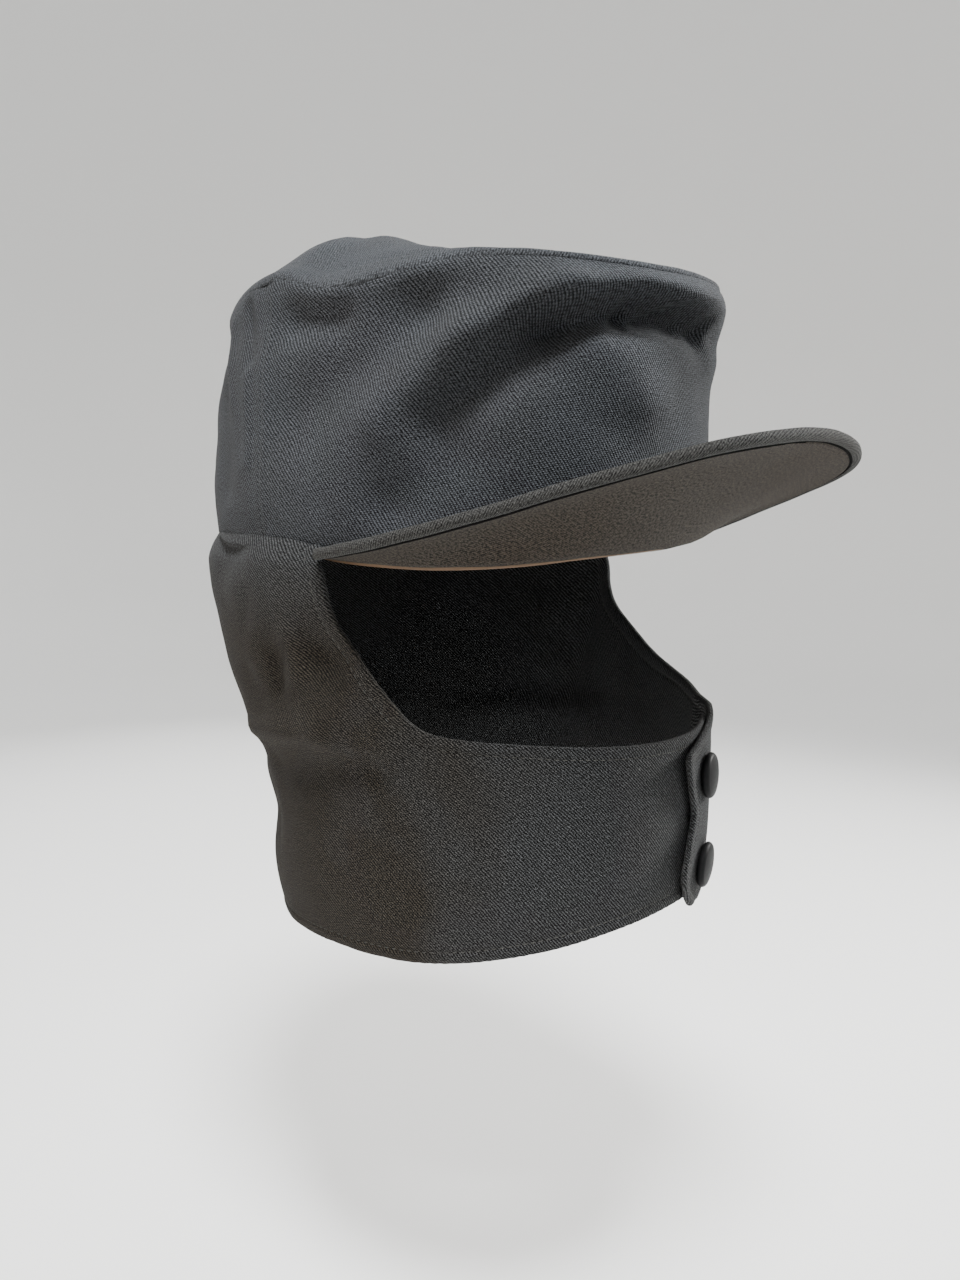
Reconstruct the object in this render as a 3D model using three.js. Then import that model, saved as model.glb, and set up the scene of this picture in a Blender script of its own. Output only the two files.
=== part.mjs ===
// A soft field cap with a peak and a wrap-round ear and neck flap, let down and buttoned at the chin.
// Millimetres. +Z is up, the front of the cap looks along -Y, +X is the wearer's left.
// The origin is the middle of the head opening, level with the seam at the back of the crown.
import * as THREE from 'three';

// Driving dimensions
const crownCloth = 2.0;        // crown wall, two plies of twill
const flapCloth = 2.0;         // flap wall, two plies of twill
const topDrop = 2.2;           // top panel wall, measured straight down
const seamGap = 0.3;           // between neighbouring pieces
const crownSeamAngle = 100;    // upright seams of the crown, each side of the front
const crownSeamGapAngle = 0.12;
const seamCalm = 14;           // folds fade out this near the lower seam
const ridgeCalm = [9, 1];      // and this near the upper one
const topRest = 82;            // height of the top panel's edge where no fold crosses it
const topCrest = 0.3;          // the last ring of the top panel closes this much higher
const bandWall = 1.0;          // sweatband leather
const bandHeight = 34;
const bandShow = 1.2;          // sweatband seen below the peak
const bandLean = 2.2;          // its upper edge leans in from the crown
const bandLeanFrom = [0.1, 0.6];
const peakThick = 3.8;
const peakEndAngle = 80.6;
const peakSewnThick = 3.0;     // thinner where it is sewn on
const peakMargin = 2.4;        // flat strip of the peak under the crown
const peakEdgeRound = 1.3;
const peakEdgeFall = 0.52;     // how far the rolled edge turns in, above and below
const peakThickFrom = 0.5;     // it thickens from here to the edge
const peakSewnGap = 0.35;      // between the sewn edge and the sweatband
const flapCalm = 8;            // the flap's folds fade out this near the crown
const backRun = 150;           // along the crown seam, from the front edge to the middle of the back
const rightRun = 185;          // from the crown along the right border to the end of the inner tongue
const leftRun = 90;            // and along the left one, to where the outer tongue begins
const chinRows = 7;            // the last rows of the left border lie along the chin
const lapStart = 36;           // the outer tongue lifts off its band here, on the wearer's left
const lapClear = 27;           // and is clear of the inner tongue from here on
const lapLift = 2.6;
const lapFoot = -90;           // the outer tongue is measured round the chin at this height
const tongueFlare = 1.8;       // the outer tongue's free end curls away
const flareFrom = [-5, 9];     // between these angles
const dropFrom = [-4, 16];
const tongueDrop = 4.2;        // its upper corner is lower than the band
const tongueSag = 4.0;         // and its lower corner hangs below the hem
const buttonWide = 16.4;
const buttonThick = 3.9;
const buttonAngle = 9.6;
const buttonHeights = [-85, -117];
const buttonRows = [
  { out: 0.84, up: 0 },
  { out: 0.97, up: 0.18 },
  { out: 1.0, up: 0.38 },
  { out: 0.93, up: 0.59 },
  { out: 0.72, up: 0.8 },
  { out: 0.4, up: 0.94 },
];
const squareness = 2.1;        // 2 is an ellipse
const arcRadius = 88;          // mean radius that turns an angle into a length on the cloth

// Sections of the crown: half width, and reach to the front and to the back
const crownRows = [
  { height: -10, halfWidth: 81.1, front: 95.6, back: 101.4 },
  { height: 15, halfWidth: 83.6, front: 99.6, back: 101.5 },
  { height: 35, halfWidth: 83.0, front: 100.2, back: 99.9 },
  { height: 55, halfWidth: 81.4, front: 101.0, back: 97.5 },
  { height: 68, halfWidth: 78.8, front: 105.5, back: 94.4 },
  { height: 76, halfWidth: 78.0, front: 106.6, back: 93.1 },
  { height: 83, halfWidth: 77.2, front: 104.2, back: 91.6 },
];

// The seam under the crown, which arches over the forehead and sits a little higher on the left
const seamRows = [
  { angle: -180, height: -3.0 },
  { angle: -120, height: -2.0 },
  { angle: -92, height: -4.2 },
  { angle: -80, height: -7.0 },
  { angle: -70, height: -8.2 },
  { angle: -57, height: -8.8 },
  { angle: -40, height: -7.6 },
  { angle: -24, height: -5.2 },
  { angle: -12, height: -3.8 },
  { angle: 0, height: -2.6 },
  { angle: 12, height: -1.2 },
  { angle: 24, height: 0.0 },
  { angle: 40, height: -1.8 },
  { angle: 57, height: -5.2 },
  { angle: 70, height: -6.6 },
  { angle: 80, height: -6.6 },
  { angle: 92, height: -4.2 },
  { angle: 120, height: -2.0 },
  { angle: 180, height: -3.0 },
];

// The seam round the top of the crown, sunk where a fold crosses it
const ridgeRows = [
  { angle: -180, height: 81 },
  { angle: -126, height: 81.2 },
  { angle: -96, height: 84.5 },
  { angle: -84, height: 77.5 },
  { angle: -66, height: 80 },
  { angle: -52, height: 82.6 },
  { angle: -20, height: 80.6 },
  { angle: 0, height: 81.6 },
  { angle: 30, height: 84.0 },
  { angle: 50, height: 84.9 },
  { angle: 70, height: 82 },
  { angle: 90, height: 83.5 },
  { angle: 130, height: 82 },
  { angle: 180, height: 81 },
];

// The top panel, from its edge (0) to its highest place (1), along the front, the sides and the back
const topCentreY = 40;
const lastInward = 0.95;
const topRows = [
  { inward: 0.0, front: 0, side: 0, back: 0 },
  { inward: 0.08, front: 0.9, side: 3.5, back: 3.0 },
  { inward: 0.22, front: 0.6, side: 10.6, back: 10.6 },
  { inward: 0.42, front: 3.6, side: 20.4, back: 21.8 },
  { inward: 0.64, front: 14.8, side: 28.0, back: 29.0 },
  { inward: 0.84, front: 27.4, side: 31.6, back: 32.0 },
  { inward: 1.0, front: 32.6, side: 32.6, back: 32.6 },
];

// The peak's edge seen from above, by the place of the seam it grows from, and how high it is
const peakRows = [
  { angle: -12, side: -27.3, ahead: 149.3, height: 29.2 },
  { angle: 0, side: 0, ahead: 151.9, height: 31.0 },
  { angle: 12, side: 27.3, ahead: 149.3, height: 29.2 },
  { angle: 24, side: 51.3, ahead: 138.8, height: 24.5 },
  { angle: 36, side: 67.2, ahead: 113.6, height: 16.7 },
  { angle: 48, side: 78.2, ahead: 88.2, height: 8.9 },
  { angle: 60, side: 87.8, ahead: 64.9, height: 1.9 },
  { angle: 70, side: 91.8, ahead: 43.7, height: -3.0 },
  { angle: 78, side: 90.9, ahead: 25.9, height: -5.9 },
  { angle: 84, side: 86.8, ahead: 12.7, height: -7.6 },
];

// The peak from its sewn edge (0) to its rolled edge (1), and how far it arches, in parts of its rise
const peakArch = [
  { out: 0.0, lift: 0 },
  { out: 0.06, lift: 0 },
  { out: 0.36, lift: 0.11 },
  { out: 0.7, lift: 0.12 },
  { out: 1.0, lift: 0.0 },
];

// Sections of the flap
const flapRows = [
  { height: -156, halfWidth: 66.5, front: 99.5, back: 61.5 },
  { height: -134, halfWidth: 70.1, front: 103.1, back: 68.2 },
  { height: -113, halfWidth: 71.1, front: 105.0, back: 70.8 },
  { height: -93, halfWidth: 72.3, front: 105.4, back: 76.4 },
  { height: -72, halfWidth: 77.3, front: 104.6, back: 86.1 },
  { height: -52, halfWidth: 82.2, front: 104.5, back: 94.2 },
  { height: -31, halfWidth: 85.4, front: 104.0, back: 101.0 },
  { height: -13, halfWidth: 87.0, front: 101.8, back: 104.4 },
  { height: -8, halfWidth: 85.4, front: 102.6, back: 103.6 },
  { height: -2, halfWidth: 81.4, front: 103.2, back: 101.4 },
];

// The flap's upper border from the crown seam down the free front edge and along the chin band:
// how far along it, its angle and height, and the angle of the hem below
const edgeRows = [
  { along: 0, angle: 81.6, height: -7.3, foot: 97 },
  { along: 9.5, angle: 79.8, height: -16.8, foot: 94 },
  { along: 19, angle: 79.0, height: -26.4, foot: 90.5 },
  { along: 27.5, angle: 77.6, height: -34.4, foot: 86.5 },
  { along: 35, angle: 75.0, height: -40.9, foot: 82 },
  { along: 44.5, angle: 71.5, height: -48.6, foot: 77 },
  { along: 54, angle: 68.0, height: -56.6, foot: 72.5 },
  { along: 62.5, angle: 64.6, height: -63.2, foot: 68 },
  { along: 67.5, angle: 61.4, height: -66.2, foot: 64 },
  { along: 78, angle: 54.0, height: -67.8, foot: 56 },
  { along: 98, angle: 40.0, height: -68.8, foot: 41 },
  { along: 125, angle: 20.0, height: -70.2, foot: 20.3 },
  { along: 152, angle: 0.0, height: -70.4, foot: 0 },
  { along: 185, angle: -24.0, height: -69.0, foot: -24 },
];

// The same border on the wearer's left, which hangs higher as far as the fastening
const leftEdgeRows = [
  { along: 0, angle: 81.6, height: -7.1, foot: 97 },
  { along: 9.5, angle: 79.8, height: -16.8, foot: 94 },
  { along: 19, angle: 79.0, height: -26.4, foot: 90.5 },
  { along: 27.5, angle: 77.0, height: -34.0, foot: 86.5 },
  { along: 35, angle: 73.6, height: -39.8, foot: 81.5 },
  { along: 44.5, angle: 68.6, height: -46.0, foot: 75.5 },
  { along: 54, angle: 63.0, height: -51.6, foot: 69 },
  { along: 62.5, angle: 57.6, height: -55.4, foot: 62.5 },
  { along: 70, angle: 52.0, height: -58.0, foot: 56 },
  { along: 80, angle: 45.0, height: -60.4, foot: 47.5 },
  { along: 92, angle: 38.0, height: -62.9, foot: 39 },
  { along: 110, angle: 26.0, height: -66.4, foot: 26 },
  { along: 125, angle: 17.0, height: -69.4, foot: 17 },
  { along: 152, angle: 0.0, height: -72.0, foot: 0 },
  { along: 162, angle: -6.0, height: -72.4, foot: -6 },
];

// The flap's lower hem
const hemRows = [
  { angle: -20, height: -130 },
  { angle: 0, height: -127 },
  { angle: 20, height: -130 },
  { angle: 40, height: -136.8 },
  { angle: 60, height: -144 },
  { angle: 72, height: -146.8 },
  { angle: 90, height: -148 },
  { angle: 180, height: -149 },
];

// The outer tongue's wavy free end
const tongueRows = [
  { height: -134, angle: 9.5 },
  { height: -127, angle: 2.4 },
  { height: -117, angle: -3.2 },
  { height: -107, angle: -1.2 },
  { height: -97, angle: 2.4 },
  { height: -86, angle: -0.6 },
  { height: -76, angle: -2.6 },
  { height: -68, angle: -1.0 },
];

// Folds and dents of the crown: a bent line on the cloth, its half width, and how far it stands out
const crownFolds = [
  { from: [-36, 73], to: [-53, 57], width: 9, out: 3.4 },
  { from: [-53, 57], to: [-68, 34], width: 10, out: 3.4 },
  { from: [-64, 65], to: [-88, 34], width: 13, out: -4.0 },
  { from: [-36, 58], to: [-57, 32], width: 9, out: -4.4 },
  { from: [-40, 61], to: [-20, 66], width: 6, out: -4.2 },
  { from: [-20, 66], to: [6, 65], width: 5.5, out: -4.6 },
  { from: [-26, 55], to: [-12, 40], width: 13, out: 2.0 },
  { from: [-66, 8], to: [-54, 20], width: 12, out: -3.8 },
  { from: [-89, 67], to: [-82, 66], width: 8, out: -3.0 },
  { from: [14, 64], to: [40, 60], width: 8, out: -1.0 },
  { from: [44, 66], to: [66, 44], width: 10, out: 2.6 },
  { from: [58, 70], to: [84, 42], width: 12, out: -3.0 },
  { from: [40, 20], to: [62, 10], width: 13, out: -2.4 },
  { from: [124, 60], to: [146, 30], width: 13, out: -2.6 },
  { from: [160, 64], to: [-176, 50], width: 11, out: -2.0 },
  { from: [-130, 64], to: [-150, 34], width: 12, out: -2.4 },
  { from: [-117, 44], to: [-114, 16], width: 9, out: -1.6 },
];

// Folds and dents of the flap
const flapFolds = [
  { from: [-84, -42], to: [-80, -42], width: 10, out: -3.4 },
  { from: [-95, -44], to: [-96, -56], width: 8, out: -2.8 },
  { from: [-108, -54], to: [-104, -60], width: 9, out: -1.6 },
  { from: [-114, -75], to: [-86, -70], width: 7, out: 2.2 },
  { from: [-86, -70], to: [-70, -69], width: 7, out: 1.4 },
  { from: [-106, -87], to: [-76, -80], width: 8, out: -2.2 },
  { from: [-122, -84], to: [-150, -86], width: 8, out: -3.0 },
  { from: [-118, -110], to: [-150, -112], width: 10, out: -2.2 },
  { from: [-113, -15], to: [-106, -9], width: 8, out: -1.8 },
  { from: [114, -77], to: [80, -70], width: 8, out: 2.2 },
  { from: [122, -89], to: [86, -82], width: 8, out: -2.4 },
  { from: [150, -82], to: [180, -84], width: 11, out: -1.4 },
  { from: [97, -40], to: [101, -58], width: 9, out: -2.2 },
  { from: [130, -30], to: [138, -60], width: 10, out: -2.2 },
  { from: [-140, -28], to: [-136, -58], width: 10, out: -2.0 },
  { from: [180, -24], to: [172, -50], width: 11, out: 1.8 },
];

// Grid counts
const crownSteps = 10;
const ringStep = 5;            // degrees
const ringSteps = 360 / ringStep;
const bandSteps = 48;
const bandUp = 4;
const peakSteps = 36;
const rightSteps = 26;
const backSteps = 14;
const leftSteps = 15;
const tongueSteps = 7;
const buttonSides = 20;
const flapDown = [0, 0.035, 0.08, 0.15, 0.23, 0.32, 0.41, 0.5, 0.59, 0.68, 0.77, 0.86, 0.94, 1];

const deg = Math.PI / 180;

// A smooth curve through one column of a table
function smooth(rows, key, column, at) {
  const last = rows.length - 1;
  const slope = (i) => {
    const a = rows[Math.max(i - 1, 0)];
    const b = rows[Math.min(i + 1, last)];
    return (b[column] - a[column]) / (b[key] - a[key]);
  };
  let i = 0;
  while (i < last - 1 && at > rows[i + 1][key]) i += 1;
  const wide = rows[i + 1][key] - rows[i][key];
  const t = Math.min(Math.max((at - rows[i][key]) / wide, 0), 1);
  const t2 = t * t;
  const t3 = t2 * t;
  return (2 * t3 - 3 * t2 + 1) * rows[i][column]
    + (t3 - 2 * t2 + t) * wide * slope(i)
    + (3 * t2 - 2 * t3) * rows[i + 1][column]
    + (t3 - t2) * wide * slope(i + 1);
}

// A point of a section, and the level direction that points out of the cloth there
function onSection(rows, angle, height) {
  const a = smooth(rows, 'height', 'halfWidth', height);
  const l = Math.cos(angle * deg) > 0
    ? smooth(rows, 'height', 'front', height)
    : smooth(rows, 'height', 'back', height);
  const bend = (value) => Math.sign(value) * Math.abs(value) ** (2 / squareness);
  const s = bend(Math.sin(angle * deg));
  const c = bend(Math.cos(angle * deg));
  const lean = (value) => Math.sign(value) * Math.abs(value) ** (squareness - 1);
  const out = new THREE.Vector2(lean(s) / a, -lean(c) / l).normalize();
  return { x: a * s, y: -l * c, out };
}

// An angle brought between -180 and 180
function wrapAngle(angle) {
  return ((angle + 180) % 360 + 360) % 360 - 180;
}

// How far the folds move the cloth out at one place
function foldDepth(folds, angle, height) {
  let depth = 0;
  for (const fold of folds) {
    const px = wrapAngle(angle - fold.from[0]) * deg * arcRadius;
    const pz = height - fold.from[1];
    const lx = wrapAngle(fold.to[0] - fold.from[0]) * deg * arcRadius;
    const lz = fold.to[1] - fold.from[1];
    const along = Math.min(Math.max((px * lx + pz * lz) / (lx * lx + lz * lz), 0), 1);
    const away = Math.hypot(px - along * lx, pz - along * lz) / fold.width;
    depth += fold.out * Math.exp(-away * away * 1.2);
  }
  return depth;
}

// A smooth step from 0 to 1
function ease(from, to, at) {
  const t = Math.min(Math.max((at - from) / (to - from), 0), 1);
  return t * t * (3 - 2 * t);
}

function seamHeight(angle) {
  return smooth(seamRows, 'angle', 'height', wrapAngle(angle));
}

function ridgeHeight(angle) {
  return smooth(ridgeRows, 'angle', 'height', wrapAngle(angle));
}

// The crown's wall, depth millimetres in from its outer face
function crownPoint(angle, height, depth) {
  const at = onSection(crownRows, angle, height);
  const calm = ease(seamHeight(angle), seamHeight(angle) + seamCalm, height)
    * (1 - ease(ridgeHeight(angle) - ridgeCalm[0], ridgeHeight(angle) - ridgeCalm[1], height));
  const move = foldDepth(crownFolds, angle, height) * calm - depth;
  return new THREE.Vector3(at.x + at.out.x * move, at.y + at.out.y * move, height);
}

function asGeometry(places) {
  const geometry = new THREE.BufferGeometry();
  geometry.setAttribute('position', new THREE.Float32BufferAttribute(places, 3));
  geometry.computeVertexNormals();
  return geometry;
}

// Triangles of a grid of points, rows[i][j], closed round j when asked
function gridFaces(rows, closed, flip, put) {
  const across = rows[0].length;
  for (let i = 0; i < rows.length - 1; i += 1) {
    for (let j = 0; j < (closed ? across : across - 1); j += 1) {
      const k = (j + 1) % across;
      const quad = [rows[i][j], rows[i][k], rows[i + 1][k], rows[i + 1][j]];
      if (flip) quad.reverse();
      put(quad[0], quad[1], quad[2]);
      put(quad[0], quad[2], quad[3]);
    }
  }
}

// A wall between an outer and an inner grid, with its edges closed
function wallGeometry(outer, inner, closed) {
  const places = [];
  const put = (a, b, c) => places.push(...a.toArray(), ...b.toArray(), ...c.toArray());
  gridFaces(outer, closed, false, put);
  gridFaces(inner, closed, true, put);
  const last = outer.length - 1;
  gridFaces([inner[0], outer[0]], closed, false, put);
  gridFaces([outer[last], inner[last]], closed, false, put);
  if (!closed) {
    const end = outer[0].length - 1;
    gridFaces([outer.map((row) => row[0]), inner.map((row) => row[0])], false, false, put);
    gridFaces([inner.map((row) => row[end]), outer.map((row) => row[end])], false, false, put);
  }
  return asGeometry(places);
}

// Even steps from one value to another
function steps(from, to, count) {
  return Array.from({ length: count + 1 }, (_, i) => from + (to - from) * i / count);
}

// One panel of the crown's side, from angle to angle
function crownPanel(from, to) {
  const count = (to - from) / ringStep;
  const angles = steps(from, to, count);
  angles[0] += crownSeamGapAngle;
  angles[count] -= crownSeamGapAngle;
  const wall = (depth) => steps(0, 1, crownSteps).map((up) => angles.map((angle) => {
    const low = seamHeight(angle);
    const high = ridgeHeight(angle) - topDrop - seamGap;
    return crownPoint(angle, low + (high - low) * up, depth);
  }));
  return wallGeometry(wall(0), wall(crownCloth), false);
}

// The top panel, a soft dome that is highest towards the back
function crownTop() {
  const ringOf = (inward, drop) => steps(-180, 180, ringSteps).slice(0, -1).map((angle) => {
    const edge = crownPoint(angle, ridgeHeight(angle), 0);
    const c = Math.cos(angle * deg);
    const rise = smooth(topRows, 'inward', 'side', inward) * (1 - c * c)
      + smooth(topRows, 'inward', c > 0 ? 'front' : 'back', inward) * c * c;
    const settle = (topRest - edge.z) * ease(0, 1, inward);
    return new THREE.Vector3(
      edge.x * (1 - inward),
      edge.y * (1 - inward) + topCentreY * inward,
      edge.z + rise + settle - drop,
    );
  });
  const inwards = topRows.map((row) => row.inward).slice(0, -1).concat(lastInward);
  const outer = inwards.map((inward) => ringOf(inward, 0));
  const inner = inwards.map((inward) => ringOf(inward, topDrop));
  const places = [];
  const put = (a, b, c) => places.push(...a.toArray(), ...b.toArray(), ...c.toArray());
  gridFaces(outer, true, false, put);
  gridFaces(inner, true, true, put);
  gridFaces([inner[0], outer[0]], true, false, put);
  const middle = (ring) => ring.reduce((sum, p) => sum.add(p), new THREE.Vector3())
    .divideScalar(ring.length);
  const lastRing = outer.length - 1;
  const crest = middle(outer[lastRing]);
  const under = middle(inner[lastRing]);
  crest.z += topCrest;
  under.z += topCrest;
  for (let j = 0; j < ringSteps; j += 1) {
    const k = (j + 1) % ringSteps;
    put(outer[lastRing][j], outer[lastRing][k], crest);
    put(inner[lastRing][k], inner[lastRing][j], under);
  }
  return asGeometry(places);
}

// The leather band inside the crown, which shows as a thin line under the peak
function sweatband() {
  const angles = steps(-180, 180, bandSteps).slice(0, -1);
  const wall = (depth) => steps(0, 1, bandUp).map((up) => angles.map((angle) => {
    const low = seamHeight(angle) - seamGap - peakSewnThick - bandShow;
    const lean = bandLean * ease(bandLeanFrom[0], bandLeanFrom[1], up);
    return crownPoint(angle, low + bandHeight * up, crownCloth + seamGap + lean + depth);
  }));
  return wallGeometry(wall(0), wall(bandWall), true);
}

// The peak: a stiff crescent with a rolled edge, sewn on under the crown
function peak() {
  const sewn = crownCloth + seamGap - peakSewnGap;
  const stations = steps(-peakEndAngle, peakEndAngle, peakSteps).map((angle) => {
    const t = Math.abs(angle);
    const seam = seamHeight(angle) - seamGap;
    const root = onSection(crownRows, angle, seam);
    return {
      inX: root.x - root.out.x * sewn,
      inY: root.y - root.out.y * sewn,
      rimX: Math.sign(angle) * smooth(peakRows, 'angle', 'side', t),
      rimY: -smooth(peakRows, 'angle', 'ahead', t),
      seam,
      rise: smooth(peakRows, 'angle', 'height', t) - seam,
    };
  });
  const last = peakArch.length - 1;
  const face = (under) => stations.map(({ inX, inY, rimX, rimY, seam, rise }) => {
    const wide = Math.hypot(rimX - inX, rimY - inY);
    return peakArch.map((row, i) => {
      const far = i === 1 ? peakMargin : row.out * (wide - peakEdgeRound);
      const climb = Math.max(far - peakMargin, 0) / (wide - peakMargin);
      const z = seam + rise * (climb + row.lift);
      const round = i === last ? peakEdgeFall : 0;
      const thick = peakSewnThick + (peakThick - peakSewnThick) * ease(peakThickFrom, 1, row.out);
      return new THREE.Vector3(
        inX + (rimX - inX) * far / wide,
        inY + (rimY - inY) * far / wide,
        under ? z - thick + round : z - round,
      );
    });
  });
  const top = face(false);
  const bottom = face(true);
  const lip = stations.map(({ rimX, rimY, seam, rise }) => (
    new THREE.Vector3(rimX, rimY, seam + rise - peakThick / 2)
  ));
  const outer = top.map((row, i) => [...row, lip[i]]);
  const inner = bottom.map((row, i) => [...row, lip[i]]);
  const places = [];
  const put = (a, b, c) => {
    if (a === b || b === c || a === c) return;
    places.push(...a.toArray(), ...b.toArray(), ...c.toArray());
  };
  gridFaces(outer, false, false, put);
  gridFaces(inner, false, true, put);
  gridFaces([outer.map((row) => row[0]), inner.map((row) => row[0])], false, false, put);
  gridFaces([inner[0], outer[0]], false, false, put);
  gridFaces([outer[peakSteps], inner[peakSteps]], false, false, put);
  return asGeometry(places);
}

// The flap's cloth, depth millimetres in from its outer face and lifted off by lift
function flapPoint(angle, height, depth, lift) {
  const at = onSection(flapRows, angle, height);
  const seam = seamHeight(angle) - seamGap;
  const calm = 1 - ease(seam - flapCalm, seam, height);
  const move = foldDepth(flapFolds, angle, height) * calm - depth + lift;
  return new THREE.Vector3(at.x + at.out.x * move, at.y + at.out.y * move, height);
}

// One line down the flap, from its upper border to the hem; side is -1 for the wearer's right
function flapColumn(side, along) {
  const rows = side < 0 ? edgeRows : leftEdgeRows;
  if (along < 0) {
    const back = -along / backRun;
    const angle = rows[0].angle + (180 - rows[0].angle) * back;
    const foot = rows[0].foot + (180 - rows[0].foot) * back;
    return { top: side * angle, height: seamHeight(side * angle) - seamGap, foot: side * foot };
  }
  return {
    top: side * smooth(rows, 'along', 'angle', along),
    height: smooth(rows, 'along', 'height', along),
    foot: side * smooth(rows, 'along', 'foot', along),
  };
}

function hemHeight(angle) {
  return smooth(hemRows, 'angle', 'height', Math.abs(wrapAngle(angle)));
}

// The chin band's upper border near the front
function bandTop(angle) {
  const rows = leftEdgeRows.slice(-chinRows).reverse();
  return smooth(rows, 'angle', 'height', angle);
}

// How far the outer tongue stands off the inner one
function tongueLift(angle) {
  return lapLift * (1 - ease(lapClear, lapStart, angle))
    + tongueFlare * (1 - ease(flareFrom[0], flareFrom[1], angle));
}

// One line down the outer tongue, part of the way from lapStart (0) to its free end (1)
function tongueLine(part, depth) {
  const across = (height) => lapStart + (smooth(tongueRows, 'height', 'angle', height) - lapStart) * part;
  const nominal = across(lapFoot);
  const top = bandTop(nominal) - tongueDrop * (1 - ease(dropFrom[0], dropFrom[1], nominal));
  const low = hemHeight(nominal) - tongueSag * part * part;
  return flapDown.map((down) => {
    const height = top + (low - top) * down;
    const angle = across(height);
    return flapPoint(angle, height, depth, tongueLift(angle));
  });
}

// The ear and neck flap: one curtain from chin tongue to chin tongue, round the back
function flap() {
  const near = steps(rightRun, 0, rightSteps).concat(steps(0, -backRun, backSteps).slice(1));
  const far = steps(-backRun, 0, backSteps).slice(1).concat(steps(0, leftRun, leftSteps).slice(1));
  const line = (side, along, depth) => {
    const column = flapColumn(side, along);
    return flapDown.map((down) => {
      const angle = column.top + (column.foot - column.top) * down;
      const height = column.height + (hemHeight(column.foot) - column.height) * down;
      return flapPoint(angle, height, depth, 0);
    });
  };
  const wall = (depth) => {
    const lines = near.map((along) => line(-1, along, depth))
      .concat(far.map((along) => line(1, along, depth)))
      .concat(steps(0, 1, tongueSteps).map((part) => tongueLine(part, depth)));
    return flapDown.map((_, i) => lines.map((points) => points[i]));
  };
  return wallGeometry(wall(0), wall(flapCloth), false);
}

// A domed button with a rounded rim, its flat back towards -Z
function button() {
  const wide = buttonWide / 2;
  const outline = [new THREE.Vector2(0, 0)]
    .concat(buttonRows.map(({ out, up }) => new THREE.Vector2(wide * out, buttonThick * up)))
    .concat(new THREE.Vector2(0, buttonThick));
  return new THREE.LatheGeometry(outline, buttonSides).rotateX(Math.PI / 2);
}

// Materials: dark field-grey twill, warmer where the flap hangs, horn-dark buttons, tan leather
const crownTwill = new THREE.MeshStandardMaterial({ color: 0x3f4245, roughness: 0.95, metalness: 0 });
const flapTwill = new THREE.MeshStandardMaterial({ color: 0x3b3a38, roughness: 0.95, metalness: 0 });
const peakTwill = new THREE.MeshStandardMaterial({ color: 0x3d3c3a, roughness: 0.95, metalness: 0 });
const tanLeather = new THREE.MeshStandardMaterial({ color: 0x9a7354, roughness: 0.6, metalness: 0 });
const buttonPlastic = new THREE.MeshStandardMaterial({ color: 0x1b1a19, roughness: 0.35, metalness: 0 });

const cap = new THREE.Group();

function addPiece(name, geometry, material) {
  const mesh = new THREE.Mesh(geometry, material);
  mesh.name = name;
  cap.add(mesh);
  return mesh;
}

addPiece('crown_front', crownPanel(-crownSeamAngle, crownSeamAngle), crownTwill);
addPiece('crown_back', crownPanel(crownSeamAngle, 360 - crownSeamAngle), crownTwill);
addPiece('crown_top', crownTop(), crownTwill);
addPiece('sweatband', sweatband(), tanLeather);
addPiece('peak', peak(), peakTwill);
addPiece('ear_flap', flap(), flapTwill);

buttonHeights.forEach((height, i) => {
  const lift = tongueLift(buttonAngle);
  const place = flapPoint(buttonAngle, height, -seamGap, lift);
  const aside = flapPoint(buttonAngle + 1, height, -seamGap, tongueLift(buttonAngle + 1)).sub(place);
  const above = flapPoint(buttonAngle, height + 1, -seamGap, lift).sub(place);
  const mesh = addPiece(i === 0 ? 'button_upper' : 'button_lower', button(), buttonPlastic);
  mesh.position.copy(place);
  mesh.quaternion.setFromUnitVectors(new THREE.Vector3(0, 0, 1), aside.cross(above).normalize());
});

export default cap;
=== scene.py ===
# A soft field cap with a peak and a let-down ear and neck flap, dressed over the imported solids.
# Tables and sizes are in millimetres and degrees: angle 0 is the front, +90 the wearer's left.
from math import cos, hypot, pi, radians, sin
import bpy
import bmesh
import numpy as np
from mathutils import Matrix, Vector, noise


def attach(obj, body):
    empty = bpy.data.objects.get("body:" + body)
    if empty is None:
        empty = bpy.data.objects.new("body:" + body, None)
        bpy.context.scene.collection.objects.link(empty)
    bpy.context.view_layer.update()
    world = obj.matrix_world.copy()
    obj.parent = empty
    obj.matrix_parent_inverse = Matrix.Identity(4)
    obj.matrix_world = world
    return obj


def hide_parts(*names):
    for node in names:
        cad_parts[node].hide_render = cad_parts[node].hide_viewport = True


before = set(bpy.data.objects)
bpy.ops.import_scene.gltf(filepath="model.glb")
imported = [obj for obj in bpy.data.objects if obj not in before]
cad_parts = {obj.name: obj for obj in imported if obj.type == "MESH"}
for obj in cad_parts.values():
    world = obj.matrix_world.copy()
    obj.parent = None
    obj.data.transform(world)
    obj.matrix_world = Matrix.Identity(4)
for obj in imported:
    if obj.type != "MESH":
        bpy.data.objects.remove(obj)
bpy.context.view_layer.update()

mm = 0.001
squareness = 2.1  # 2 is an ellipse
perDegree = radians(88.0)  # turns an angle into a length on the cloth
blunt = 0.5 ** 0.3  # the corners of a cloth edge: 0.71 is half round, 1 is square

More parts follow.
